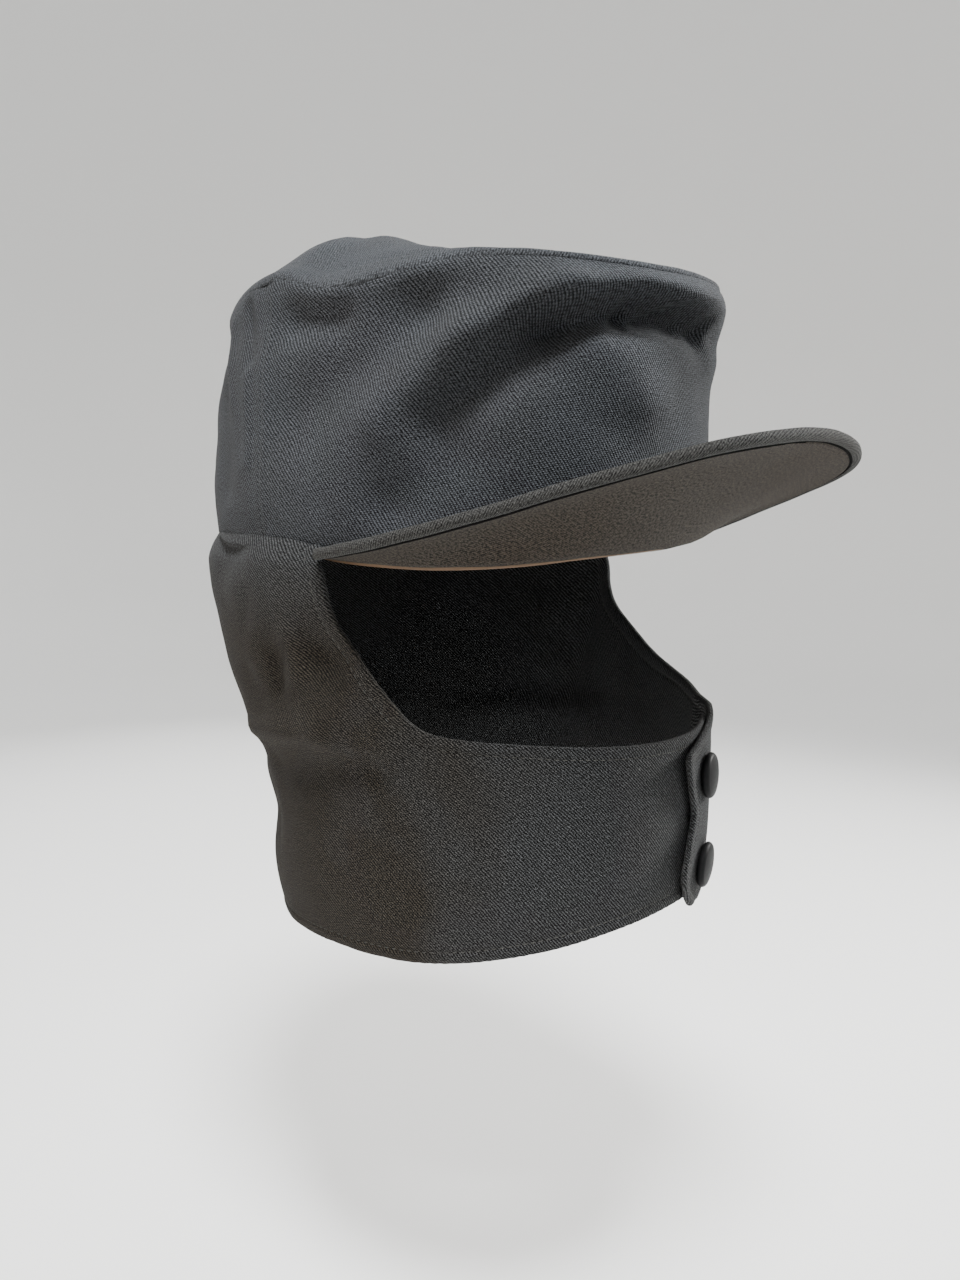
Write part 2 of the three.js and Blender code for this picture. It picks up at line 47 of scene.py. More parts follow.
crownRows = {
    "height": [-10, 15, 35, 55, 68, 76, 83],
    "halfWidth": [81.1, 83.6, 83, 81.4, 78.8, 78, 77.2],
    "front": [95.6, 99.6, 100.2, 101, 105.5, 106.6, 104.2],
    "back": [101.4, 101.5, 99.9, 97.5, 94.4, 93.1, 91.6],
}
seamRows = {
    "angle": [-180, -120, -92, -80, -70, -57, -40, -24, -12, 0, 12, 24, 40, 57, 70, 80, 92, 120, 180],
    "height": [-3, -2, -4.2, -7, -8.2, -8.8, -7.6, -5.2, -3.8, -2.6,
        -1.2, 0, -1.8, -5.2, -6.6, -6.6, -4.2, -2, -3],
}
ridgeRows = {
    "angle": [-180, -126, -96, -84, -66, -52, -20, 0, 30, 50, 70, 90, 130, 180],
    "height": [81, 81.2, 84.5, 77.5, 80, 82.6, 80.6, 81.6, 84, 84.9, 82, 83.5, 82, 81],
}
topRows = {
    "inward": [0, 0.08, 0.22, 0.42, 0.64, 0.84, 1],
    "front": [0, 0.9, 0.6, 3.6, 14.8, 27.4, 32.6],
    "side": [0, 3.5, 10.6, 20.4, 28, 31.6, 32.6],
    "back": [0, 3, 10.6, 21.8, 29, 32, 32.6],
}
peakRows = {
    "angle": [-12, 0, 12, 24, 36, 48, 60, 70, 78, 84],
    "side": [-27.3, 0, 27.3, 51.3, 67.2, 78.2, 87.8, 91.8, 90.9, 86.8],
    "ahead": [149.3, 151.9, 149.3, 138.8, 113.6, 88.2, 64.9, 43.7, 25.9, 12.7],
    "height": [29.2, 31, 29.2, 24.5, 16.7, 8.9, 1.9, -3, -5.9, -7.6],
}
flapRows = {
    "height": [-156, -134, -113, -93, -72, -52, -31, -13, -8, -2],
    "halfWidth": [66.5, 70.1, 71.1, 72.3, 77.3, 82.2, 85.4, 87, 85.4, 81.4],
    "front": [99.5, 103.1, 105, 105.4, 104.6, 104.5, 104, 101.8, 102.6, 103.2],
    "back": [61.5, 68.2, 70.8, 76.4, 86.1, 94.2, 101, 104.4, 103.6, 101.4],
}
edgeRows = {
    "along": [0, 9.5, 19, 27.5, 35, 44.5, 54, 62.5, 67.5, 78, 98, 125, 152, 185],
    "angle": [81.6, 79.8, 79, 77.6, 75, 71.5, 68, 64.6, 61.4, 54, 40, 20, 0, -24],
    "height": [-7.3, -16.8, -26.4, -34.4, -40.9, -48.6, -56.6,
        -63.2, -66.2, -67.8, -68.8, -70.2, -70.4, -69],
    "foot": [97, 94, 90.5, 86.5, 82, 77, 72.5, 68, 64, 56, 41, 20.3, 0, -24],
}
leftEdgeRows = {
    "along": [0, 9.5, 19, 27.5, 35, 44.5, 54, 62.5, 70, 80, 92, 110, 125, 152, 162],
    "angle": [81.6, 79.8, 79, 77, 73.6, 68.6, 63, 57.6, 52, 45, 38, 26, 17, 0, -6],
    "height": [-7.1, -16.8, -26.4, -34, -39.8, -46, -51.6, -55.4,
        -58, -60.4, -62.9, -66.4, -69.4, -72, -72.4],
    "foot": [97, 94, 90.5, 86.5, 81.5, 75.5, 69, 62.5, 56, 47.5, 39, 26, 17, 0, -6],
}
hemRows = {
    "angle": [-20, 0, 20, 40, 60, 72, 90, 180],
    "height": [-130, -127, -130, -136.8, -144, -146.8, -148, -149],
}
tongueRows = {
    "height": [-134, -127, -117, -107, -97, -86, -76, -68],
    "angle": [9.5, 2.4, -3.2, -1.2, 2.4, -0.6, -2.6, -1],
}
crownFolds = [
    (-36, 73, -53, 57, 9, 3.4), (-53, 57, -68, 34, 10, 3.4), (-64, 65, -88, 34, 13, -4),
    (-36, 58, -57, 32, 9, -4.4), (-40, 61, -20, 66, 6, -4.2), (-20, 66, 6, 65, 5.5, -4.6),
    (-26, 55, -12, 40, 13, 2), (-66, 8, -54, 20, 12, -3.8), (-89, 67, -82, 66, 8, -3),
    (14, 64, 40, 60, 8, -1), (44, 66, 66, 44, 10, 2.6), (58, 70, 84, 42, 12, -3),
    (40, 20, 62, 10, 13, -2.4), (124, 60, 146, 30, 13, -2.6), (160, 64, -176, 50, 11, -2),
    (-130, 64, -150, 34, 12, -2.4), (-117, 44, -114, 16, 9, -1.6),
]
flapFolds = [
    (-84, -42, -80, -42, 10, -3.4), (-95, -44, -96, -56, 8, -2.8), (-108, -54, -104, -60, 9, -1.6),
    (-114, -75, -86, -70, 7, 2.2), (-86, -70, -70, -69, 7, 1.4), (-106, -87, -76, -80, 8, -2.2),
    (-122, -84, -150, -86, 8, -3), (-118, -110, -150, -112, 10, -2.2), (-113, -15, -106, -9, 8, -1.8),
    (114, -77, 80, -70, 8, 2.2), (122, -89, 86, -82, 8, -2.4), (150, -82, 180, -84, 11, -1.4),
    (97, -40, 101, -58, 9, -2.2), (130, -30, 138, -60, 10, -2.2), (-140, -28, -136, -58, 10, -2),
    (180, -24, 172, -50, 11, 1.8),
]
peakArch = {
    "out": [0, 0.06, 0.36, 0.7, 1],
    "lift": [0, 0, 0.11, 0.12, 0],
}


def curve(table, column, at):
    keys, values = (np.array(v, float) for v in (next(iter(table.values())), table[column]))
    at = np.asarray(at, float)
    each = np.diff(values) / np.diff(keys)
    slope = np.concatenate([each[:1], (values[2:] - values[:-2]) / (keys[2:] - keys[:-2]), each[-1:]])
    i = np.clip(np.searchsorted(keys, at, side="right") - 1, 0, len(keys) - 2)
    wide = keys[i + 1] - keys[i]
    t = np.clip((at - keys[i]) / wide, 0, 1)
    start = (2 * t**3 - 3 * t**2 + 1) * values[i] + (t**3 - 2 * t**2 + t) * wide * slope[i]
    return start + (3 * t**2 - 2 * t**3) * values[i + 1] + (t**3 - t**2) * wide * slope[i + 1]


def ease(start, end, at):  # a smooth step from 0 to 1
    t = np.clip((np.asarray(at, float) - start) / (end - start), 0, 1)
    return t * t * (3 - 2 * t)


def bump(middle, width, at):  # a smooth hump of height 1
    return np.exp(-((np.asarray(at, float) - middle) / width) ** 2)


def wrap(angle):
    return (np.asarray(angle, float) + 180) % 360 - 180


def onSection(table, angle, height):  # place on a section, and the level direction out of the cloth
    s, c = np.sin(np.radians(angle)), np.cos(np.radians(angle))
    halfWidth = curve(table, "halfWidth", height)
    reach = np.where(c > 0, curve(table, "front", height), curve(table, "back", height))
    s, c = (np.sign(v) * np.abs(v) ** (2 / squareness) for v in (s, c))
    outX = np.sign(s) * np.abs(s) ** (squareness - 1) / halfWidth
    outY = -np.sign(c) * np.abs(c) ** (squareness - 1) / reach
    size = np.hypot(outX, outY)
    return halfWidth * s, -reach * c, outX / size, outY / size


def foldDepth(folds, angle, height):  # rounded folds and dents, each along a short line
    depth = 0
    for fromAngle, fromHeight, toAngle, toHeight, wide, high in folds:
        x, z = wrap(angle - fromAngle) * perDegree, height - fromHeight
        aheadX, aheadZ = float(wrap(toAngle - fromAngle)) * perDegree, toHeight - fromHeight
        size = hypot(aheadX, aheadZ)
        along, side = (x * aheadX + z * aheadZ) / size, (z * aheadX - x * aheadZ) / size
        past = np.maximum(np.maximum(-along, along - size), 0)
        depth = depth + high * np.exp(-1.2 * (past**2 + side**2) / wide**2)
    return depth


def rumple(x, y, z, size, seed):  # soft noise, a swelling about size wide; the seed picks where it is read
    flat = np.stack([np.ravel(x), np.ravel(y), np.ravel(z)], -1) / size + seed
    return np.array([noise.noise(p) for p in flat.tolist()]).reshape(np.shape(x))


def uneven(shape, x, y, z, seeds, near, nearer):  # broad swells and small rumples, strong where near is 1
    broad = shape["swell"] * rumple(x, y, z, shape["swellSize"], seeds[0]) * near
    return broad + shape["rumple"] * rumple(x, y, z, shape["rumpleSize"], seeds[1]) * nearer


def placed(x, y, z):
    return np.stack(np.broadcast_arrays(x, y, z), -1)


def lengthOf(rows):  # the length of each row
    return np.linalg.norm(rows, axis=-1, keepdims=True)


def unit(rows):  # each row, made one long
    return rows / np.maximum(lengthOf(rows), 1e-9)


def gridFaces(down, across, ringDown=False, ringAcross=True):  # a grid's faces, closed or open each way
    i, j = np.meshgrid(np.arange(down if ringDown else down - 1),
        np.arange(across if ringAcross else across - 1), indexing="ij")
    nextI, nextJ = (i + 1) % down, (j + 1) % across
    corners = [i * across + j, i * across + nextJ, nextI * across + nextJ, nextI * across + j]
    return np.stack(corners, -1).reshape(-1, 4)


def clearSelection():
    bpy.ops.object.select_all(action="DESELECT")


def linked(name, data):
    piece = bpy.data.objects.new(name, data)
    bpy.context.scene.collection.objects.link(piece)
    return piece


def newMesh(name, places, faces, materials):
    mesh = bpy.data.meshes.new(name)
    mesh.from_pydata(places.tolist(), [], faces)
    for material in materials:
        mesh.materials.append(material)
    return mesh


def smoothed(mesh):
    mesh.polygons.foreach_set("use_smooth", np.ones(len(mesh.polygons), bool))
    return mesh


def addMesh(name, places, faces, materials, uv, spots=None):  # four-sided faces, turned to point outwards
    places = places.reshape(-1, 3) * mm
    corner = places[faces]
    turned = np.cross(corner[:, 2] - corner[:, 0], corner[:, 3] - corner[:, 1])
    if np.einsum("ij,ij", corner.mean(1), turned) < 0:
        faces = faces[:, ::-1]
    mesh = newMesh(name, places, faces.tolist(), materials)
    layer = mesh.uv_layers.new(name="weave")
    index = np.empty(len(mesh.loops), int)
    mesh.loops.foreach_get("vertex_index", index)
    layer.data.foreach_set("uv", uv.reshape(-1, 2)[index].ravel())
    if spots is not None:
        mesh.polygons.foreach_set("material_index", spots)
    tool = bmesh.new()
    tool.from_mesh(mesh)
    bmesh.ops.remove_doubles(tool, verts=tool.verts, dist=1e-7)
    tool.to_mesh(mesh)
    tool.free()
    return linked(name, smoothed(mesh))


def roundEdge(a, b, before):  # a blunt round edge from one face's last row a to the other's b
    middle, half = (a + b) / 2, (a - b) / 2
    ahead = unit(a - before) * lengthOf(half)
    return [middle + half * over + ahead * out for over, out in ((blunt, blunt), (0, 1), (-blunt, blunt))]


def clothWall(name, outer, inner, uv, material, closed=False):
    size = lengthOf(outer[0] - inner[0]).mean() / 2
    turns = [pi / 6, pi / 3, pi / 2]

    def beyond(end, before, turn):  # the weave runs on round an edge
        return end + unit(end - before) * size * turn

    def widen(outerEnd, outerBefore, innerEnd, innerBefore):  # a half-round end, as rows outside and inside
        middle, half = (outerEnd + innerEnd) / 2, (outerEnd - innerEnd) / 2
        ahead = unit(middle - (outerBefore + innerBefore) / 2) * lengthOf(half)
        return [[middle + ahead * sin(t) + half * cos(t) * face for t in turns] for face in (1, -1)]

    def withEnds(rows, first, last):
        return np.concatenate([np.stack(first[::-1], 1), rows, np.stack(last, 1)], 1)
    if not closed:
        first = widen(outer[:, 0], outer[:, 1], inner[:, 0], inner[:, 1])
        last = widen(outer[:, -1], outer[:, -2], inner[:, -1], inner[:, -2])
        outer, inner = withEnds(outer, first[0], last[0]), withEnds(inner, first[1], last[1])
        uv = withEnds(uv, [beyond(uv[:, 0], uv[:, 1], t) for t in turns],
            [beyond(uv[:, -1], uv[:, -2], t) for t in turns])
    low = roundEdge(outer[-1], inner[-1], outer[-2])
    high = roundEdge(inner[0], outer[0], inner[1])
    rows = [*outer, *low, *inner[::-1], *high]
    bend = [pi / 4, pi / 2, 3 * pi / 4]
    lowMarks = [beyond(uv[-1], uv[-2], t) for t in bend]
    turned = 2 * uv[-1] - uv[::-1] + (beyond(uv[-1], uv[-2], pi) - uv[-1])
    marks = [*uv, *lowMarks, *turned, *[beyond(uv[0], uv[1], t) for t in bend[::-1]]]
    faces = gridFaces(len(rows), rows[0].shape[0], True, closed)
    return addMesh(name, np.stack(rows), faces, [material], np.stack(marks))


def feed(socket, value):  # a link or a plain value
    if isinstance(value, bpy.types.NodeSocket):
        socket.id_data.links.new(value, socket)
    else:
        socket.default_value = (*value, 1) if socket.type == "RGBA" else value


def addNode(tree, kind, inputs, **settings):
    node = tree.nodes.new(kind)
    for key, value in settings.items():
        setattr(node, key, value)
    for key, value in inputs.items():
        feed(node.inputs[key], value)
    return node


def newMaterial(name, roughness, specular, sheen=0.0):
    material = bpy.data.materials.new(name)
    material.use_nodes = True
    shader = material.node_tree.nodes["Principled BSDF"]
    feed(shader.inputs["Roughness"], roughness)
    feed(shader.inputs["Specular IOR Level"], specular)
    feed(shader.inputs["Sheen Weight"], sheen)
    feed(shader.inputs["Sheen Roughness"], 0.6)
    return material, material.node_tree, shader


def mixColors(tree, factor, a, b, mode="MIX"):
    node = addNode(tree, "ShaderNodeMix", {0: factor, 6: a, 7: b}, data_type="RGBA", blend_type=mode)
    return node.outputs[2]


def combine(tree, operation, *values, clamp=False):  # arithmetic on numbers and sockets
    node = addNode(tree, "ShaderNodeMath", dict(enumerate(values)), operation=operation, use_clamp=clamp)
    return node.outputs[0]


def remap(tree, value, low, high, toLow=0.0, toHigh=1.0):
    return addNode(tree, "ShaderNodeMapRange", {"Value": value, "From Min": low, "From Max": high,
        "To Min": toLow, "To Max": toHigh}).outputs[0]


def cloudy(tree, at, scale, detail, roughness=0.5):
    return addNode(tree, "ShaderNodeTexNoise", {"Vector": at, "Scale": scale, "Detail": detail,
        "Roughness": roughness}).outputs["Fac"]


def yarns(tree, uv, turn, pitch, direction, detailScale):  # wavering parallel bands, pitch millimetres apart
    turned = addNode(tree, "ShaderNodeMapping", {"Vector": uv, "Rotation": (0, 0, radians(turn))})
    wave = addNode(tree, "ShaderNodeTexWave", {"Vector": turned.outputs[0], "Scale": waveScale / pitch,
        "Distortion": 4.0, "Detail": 1.0, "Detail Scale": detailScale}, bands_direction=direction)
    return wave.outputs["Fac"]


def addRelief(tree, shader, height, look):
    raised = addNode(tree, "ShaderNodeBump", {"Height": height, "Strength": look["bump"],
        "Distance": look["bumpDeep"]})
    feed(shader.inputs["Normal"], raised.outputs[0])


def twill(name, look):  # wool twill: slanting ribs broken by the weft, with flecks, worn patches, lint and painted warm shade towards one side
    material, tree, shader = newMaterial(name, look["roughness"], 0.1, look["sheen"])
    coord = addNode(tree, "ShaderNodeTexCoord", {})
    uv, own = coord.outputs["UV"], coord.outputs["Object"]
    rib = yarns(tree, uv, look["lean"], look["pitch"], "X", 0.3)
    weft = yarns(tree, uv, look["lean"] + look["weftTurn"], look["pitch"] * look["weftPitch"], "Y", 0.4)
    fleck = remap(tree, cloudy(tree, uv, look["fibreSize"], 3.0, 0.85), 0.3, 0.7)
    gap = combine(tree, "MULTIPLY_ADD", weft, look["weft"], 1 - look["weft"])
    weave = combine(tree, "MULTIPLY", rib, gap)
    level = combine(tree, "MULTIPLY_ADD", weave, look["rib"], look["base"])
    level = combine(tree, "MULTIPLY_ADD", fleck, look["fleck"], level, clamp=True)
    color = mixColors(tree, level, look["dark"], look["light"])

    across = addNode(tree, "ShaderNodeSeparateXYZ", {0: uv})
    # painted warm shade: browner and darker along the cloth towards the wearer's right rear, added to the
    # worn patches
    off = combine(tree, "ABSOLUTE", combine(tree, "SUBTRACT", across.outputs[0], look["rearAt"]))
    paintedWarmShade = remap(tree, off, look["rearEnd"], look["warmShadeFull"], 0.0, look["paintedWarmShade"])
    beside = remap(tree, off, look["rearEnd"], look["patchFull"], look["elsewhere"], 1.0)
    patchesAndShade = remap(tree, cloudy(tree, own, look["patchSize"], 3.0), 0.42, 0.66, 0.0, look["patch"])
    patchesAndShade = combine(tree, "MULTIPLY_ADD", patchesAndShade, beside, paintedWarmShade, clamp=True)
    low = remap(tree, across.outputs[1], look["cleanAbove"], look["cleanAbove"] - look["cleanFade"])
    patchesAndShade = combine(tree, "MULTIPLY", patchesAndShade, low)
    color = mixColors(tree, patchesAndShade, color, look["patchTint"], "MULTIPLY")

    cells = addNode(tree, "ShaderNodeTexVoronoi", {"Vector": uv, "Scale": look["lintScale"]})
    near = combine(tree, "LESS_THAN", cells.outputs["Distance"], look["lintSize"])
    some = addNode(tree, "ShaderNodeSeparateColor", {0: cells.outputs["Color"]})
    few = combine(tree, "GREATER_THAN", some.outputs[0], 1 - look["lint"])
    color = mixColors(tree, combine(tree, "MULTIPLY", near, few), color, look["lintColor"])
    feed(shader.inputs["Base Color"], color)
    addRelief(tree, shader, combine(tree, "MULTIPLY_ADD", fleck, look["fuzz"], weave), look)
    return material


def clouded(name, look):  # leather, horn-like plastic, thread or painted seam shade: two tints in a cloudy mix
    material, tree, shader = newMaterial(name, 0, look["specular"])
    own = addNode(tree, "ShaderNodeTexCoord", {}).outputs["Object"]
    drawn = addNode(tree, "ShaderNodeMapping", {"Vector": own, "Scale": (1, 1, look["streak"])})
    cloud = cloudy(tree, drawn.outputs[0], look["scale"], look["detail"])
    feed(shader.inputs["Base Color"], mixColors(tree, cloud, look["dark"], look["light"]))
    feed(shader.inputs["Roughness"], remap(tree, cloud, 0, 1, *look["rough"]))
    if look["grain"]:
        cells = addNode(tree, "ShaderNodeTexVoronoi", {"Vector": own, "Scale": look["grain"]})
        addRelief(tree, shader, cells.outputs["Distance"], look)
    elif look["bump"]:
        addRelief(tree, shader, cloud, look)
    return material


waveScale = 0.314  # a wave texture at this scale has its bands one unit apart
crownLook = {
    "dark": (0.0035, 0.004, 0.0048), "light": (0.083, 0.09, 0.1),
    "rib": 1, "weft": 0.6, "fleck": 1.35, "base": -0.63,  # how strongly each part of the weave shows
    "lean": -35, "pitch": 0.92, "weftTurn": 24, "weftPitch": 0.7, "fibreSize": 1.35,
    "patch": 0.5, "patchSize": 22, "patchTint": (0.8, 0.76, 0.72),
    "paintedWarmShade": 0, "rearAt": -172, "warmShadeFull": 40, "rearEnd": 100,  # painted warm shade towards the wearer's right rear, and where it lies along the cloth
    "elsewhere": 1, "patchFull": 62, "cleanAbove": 400, "cleanFade": 32,  # where patches thin out
    "lint": 0.09, "lintScale": 0.085, "lintSize": 0.02, "lintColor": (0.12, 0.12, 0.115),
    "bump": 0.8, "bumpDeep": 0.00035, "fuzz": 0.35, "roughness": 0.92, "sheen": 0.03,
}
# on the flap the rear tint is painted shade with a warm reflected cast, and its brown tint serves both it
# and the patches
flapLook = dict(crownLook, dark=(0.0014, 0.0014, 0.0013), light=(0.077, 0.08, 0.083), lean=-45, pitch=0.88,
    rib=1.35, fleck=1.8, base=-1.13, patchTint=(0.7, 0.57, 0.42), patch=0.8, paintedWarmShade=0.85, patchSize=27,
    lint=0.1, elsewhere=0.25, cleanAbove=-10)
topLook = dict(crownLook, rib=0.65, base=-0.42)
peakLook = dict(crownLook, dark=(0.003, 0.003, 0.0029), light=(0.066, 0.066, 0.063), lean=75, pitch=0.9,
    rib=0.7, base=-0.45, lint=0.04)
underLook = dict(crownLook, dark=(0.004, 0.0036, 0.003), light=(0.0515, 0.043, 0.0335), lean=-20, pitch=0.7,
    rib=0.3, weft=0.25, fleck=2.6, base=-1, fibreSize=1.25, bump=0.5, patchTint=(0.85, 0.75, 0.65),
    patch=0.6, lint=0.02)
leatherLook = {
    "dark": (0.085, 0.05, 0.027), "light": (0.15, 0.092, 0.053), "rough": (0.42, 0.62), "specular": 0.3,
    "scale": 60, "detail": 4, "streak": 1, "grain": 900, "bump": 0.25, "bumpDeep": 0.0003,
}
buttonLook = dict(leatherLook, dark=(0.0055, 0.0058, 0.0062), light=(0.012, 0.012, 0.0125),
    rough=(0.4, 0.62), specular=0.05, scale=260, streak=3, grain=0, bump=0.12, bumpDeep=0.0002)
threadLook = dict(leatherLook, dark=(0.045, 0.045, 0.042), light=(0.085, 0.085, 0.08), rough=(0.9, 0.9),
    specular=0.03, scale=2600, detail=2, grain=0, bump=0)
darkLook = dict(threadLook, dark=(0.003, 0.003, 0.003), light=(0.009, 0.009, 0.009))
# painted shade: a near-black tint for the peak's seam groove and the strip beside the sweatband
seamShadeLook = dict(threadLook, dark=(0.0012, 0.0012, 0.0012), light=(0.006, 0.006, 0.0058))

crownTwill = twill("crownTwill", crownLook)
topTwill = twill("topTwill", topLook)
flapTwill = twill("flapTwill", flapLook)
peakTwill = twill("peakTwill", peakLook)
peakLining = twill("peakLining", underLook)
tanLeather = clouded("tanLeather", leatherLook)
hornPlastic = clouded("hornPlastic", buttonLook)
greyThread = clouded("greyThread", threadLook)
darkThread = clouded("darkThread", darkLook)
seamShade = clouded("seamShade", seamShadeLook)
print("materials made")


def seamHeight(angle):
    return curve(seamRows, "height", wrap(angle))


def ridgeHeight(angle):
    return curve(ridgeRows, "height", wrap(angle))


def crease(line, angle, height):  # a sharp crease: the cloth above it rolls out, and below it sinks in
    first, last = line["angle"][0], line["angle"][-1]
    at = wrap(angle - (first + last) / 2) + (first + last) / 2
    side = height - curve(line, "height", at)
    past = np.maximum(np.maximum(first - at, at - last), 0) * perDegree
    out, sink, reachAbove, reachBelow, sharp, roll = line["form"]
    over = ease(-sharp, sharp + roll, side)
    both = out * bump(roll, reachAbove, side) * over + sink * bump(0, reachBelow, side) * (1 - over)
    return curve(line, "depth", at) * bump(0, 3, past) * both


def edgeRound(distance, radius):  # how far a rounded edge turns in, within radius of the edge
    t = np.clip(1 - distance / radius, 0, 1)
    return 1 - np.sqrt(1 - t * t * 0.96)


crown = {
    "step": 1.15, "rows": 76, "cloth": 2, "topDrop": 2.2, "gap": 0.3, "topGap": 0.08,
    "sideSeam": 98, "seamGap": 0.12, "seamDeep": 0.6, "seamRound": 1.2,
    "seamHollow": 0.6, "hollowAt": (4.5, 4), "seamRidge": 0.45, "ridgeAt": (1.8, 1.6),
    "foldLow": 14, "foldTop": (9, 1), "creaseTop": (6, 1), "rumpleLow": 9,  # calm so near the seams
    "foldGain": 0.3, "gainFrom": 30, "gainTo": 48,  # the folds are fullest above the sweatband
    "swell": 0.55, "swellSize": 21, "rumple": 0.22, "rumpleSize": 8,
    "edgeCurl": 0.3, "edgeReach": 2.2, "seamWelt": 0.25, "weltAt": (5, 4),
    "pucker": 0.07, "puckerSize": 4.5, "puckerAt": (3, 5),
}
smallFolds = [  # angle and height at both ends, width, depth
    (-108, 77, -104, 58, 3.5, -1.3), (-117, 72, -111, 44, 4, 0.9), (-104, 52, -103, 22, 2.4, 0.6),
    (-22, 66, -18, 66, 4, 2), (3, 65.4, 8, 65, 4.5, 1.9), (13, 59, 30, 57, 6.5, 1.5),
]
crownCreases = [  # form: how high and deep, how far each reaches, how sharp and how wide the roll is
    {"angle": [-48, -38.6, -32, -24, -13.5, 0, 8.8, 18],
        "height": [58.6, 61.4, 64.2, 66, 66.8, 66.2, 65.2, 63.6],
        "depth": [0, 0.7, 1, 1, 1, 0.85, 0.5, 0], "form": (2.7, -5.4, 5, 6.5, 1, 6.5)},
    {"angle": [-17, -13, -8, -3, 4], "height": [65.6, 67.2, 70, 71.8, 72.2],
        "depth": [0, 0.8, 1, 0.6, 0], "form": (1.2, -2.2, 2.4, 3.6, 0.8, 0)},
]


def fadeAt(edge, reach, height):  # 0 at an edge, rising to 1 below it
    return 1 - ease(edge - reach[0], edge - reach[1], height)


def crownPoint(angle, height, depth):
    x, y, outX, outY = onSection(crownRows, angle, height)
    low, high = seamHeight(angle), ridgeHeight(angle)
    calm = ease(low, low + crown["foldLow"], height) * fadeAt(high, crown["foldTop"], height)
    deeper = 1 + crown["foldGain"] * ease(crown["gainFrom"], crown["gainTo"], height)
    move = foldDepth(crownFolds + smallFolds, angle, height) * calm * deeper
    for line in crownCreases:
        move = move + crease(line, angle, height) * fadeAt(high, crown["creaseTop"], height)
    near = ease(low, low + crown["rumpleLow"], height)
    move = move + uneven(crown, x, y, height, (3.1, 7.7), near, near)
    fromSeam = (np.abs(wrap(angle)) - crown["sideSeam"]) * perDegree
    side = np.abs(fromSeam)
    move = move - crown["seamDeep"] * edgeRound(side, crown["seamRound"])
    hollow = -crown["seamHollow"] * bump(*crown["hollowAt"], side)
    ridge = crown["seamRidge"] * bump(*crown["ridgeAt"], side)
    move = move + np.where(fromSeam > 0, hollow, ridge)  # the allowance is pressed forwards
    toTop = high - crown["topDrop"] - crown["topGap"] - height
    move = move - crown["edgeCurl"] * edgeRound(toTop, crown["edgeReach"])
    move = move + crown["seamWelt"] * bump(*crown["weltAt"], toTop)
    pucker = rumple(x, y, height * 0.2, crown["puckerSize"], 1.3)
    move = move + crown["pucker"] * pucker * bump(*crown["puckerAt"], toTop)
    return placed(x + outX * (move - depth), y + outY * (move - depth), height)


def crownPanel(name, first, last):
    across = int((last - first) * perDegree / crown["step"])
    angles = np.linspace(first + crown["seamGap"], last - crown["seamGap"], across)
    low = seamHeight(angles)
    high = ridgeHeight(angles) - crown["topDrop"] - crown["topGap"]
    down = np.linspace(0, 1, crown["rows"])[:, None]
    height = high + (low - high) * down
    angle = np.broadcast_to(angles, height.shape)
    uv = np.stack([angle * perDegree, height], -1)
    outer, inner = crownPoint(angle, height, 0), crownPoint(angle, height, crown["cloth"])
    return clothWall(name, outer, inner, uv, crownTwill)


crownFront = crownPanel("crownFront", -crown["sideSeam"], crown["sideSeam"])
crownBack = crownPanel("crownBack", crown["sideSeam"], 360 - crown["sideSeam"])
print("crown sides made")

top = {
    "rings": 74, "round": 300, "crowding": 1.15, "centreY": 40, "rest": 82,
    "swell": 0.8, "swellSize": 30, "swellFrom": 12, "rumple": 0.3, "rumpleSize": 9, "rumpleFrom": 5,
    "edgeFall": 0.12, "edgeReach": 2.4, "edgeIn": 0.85, "seamWelt": 0.3,
    "turnRings": 12, "edgeWeave": 0.8,
}
topFolds = {  # soft folds on the top: where, how far in from the seam, how wide both ways and how high
    "angle": [-72, -66, -98, -44, 8],
    "inside": [9, 18, 14, 12, 13],
    "turn": [16, 18, 9, 9, 22],
    "wide": [4, 5.5, 6, 5, 8],
    "high": [1.3, -1.8, -1.2, -0.8, 1.5],
}


def topPoint(angle, inward, drop):
    edgeHeight = ridgeHeight(angle)
    edgeX, edgeY, outX, outY = onSection(crownRows, angle, edgeHeight)
    c = np.cos(np.radians(angle))
    along = np.where(c > 0, curve(topRows, "front", inward), curve(topRows, "back", inward))
    rise = curve(topRows, "side", inward) * (1 - c * c) + along * c * c
    settle = (top["rest"] - edgeHeight) * ease(0, 1, inward)
    x, y = edgeX * (1 - inward), edgeY * (1 - inward) + top["centreY"] * inward
    distance = inward * np.hypot(edgeX, edgeY - top["centreY"])
    shift = top["edgeIn"] * edgeRound(distance, top["edgeReach"])
    z = edgeHeight + rise + settle - drop - top["edgeFall"] * edgeRound(distance, top["edgeReach"])
    near, nearer = (ease(0, top[key], distance) for key in ("swellFrom", "rumpleFrom"))
    z = z + uneven(top, x, y, 0 * x, (5.2, 9.4), near, nearer)
    z = z + top["seamWelt"] * bump(*crown["weltAt"], distance)
    for at, inside, turn, wide, high in zip(*topFolds.values()):
        z = z + high * bump(0, turn, wrap(angle - at)) * bump(inside, wide, distance)
    pucker = rumple(x, y, 0 * x, crown["puckerSize"], 1.3)
    z = z + crown["pucker"] * pucker * bump(*crown["puckerAt"], distance)
    return placed(x - outX * shift, y - outY * shift, z)


def runOf(rows):  # how far each ring lies from the first, on average
    steps = lengthOf(np.diff(rows, axis=0)).mean((1, 2))
    return np.concatenate([[0], np.cumsum(steps)])


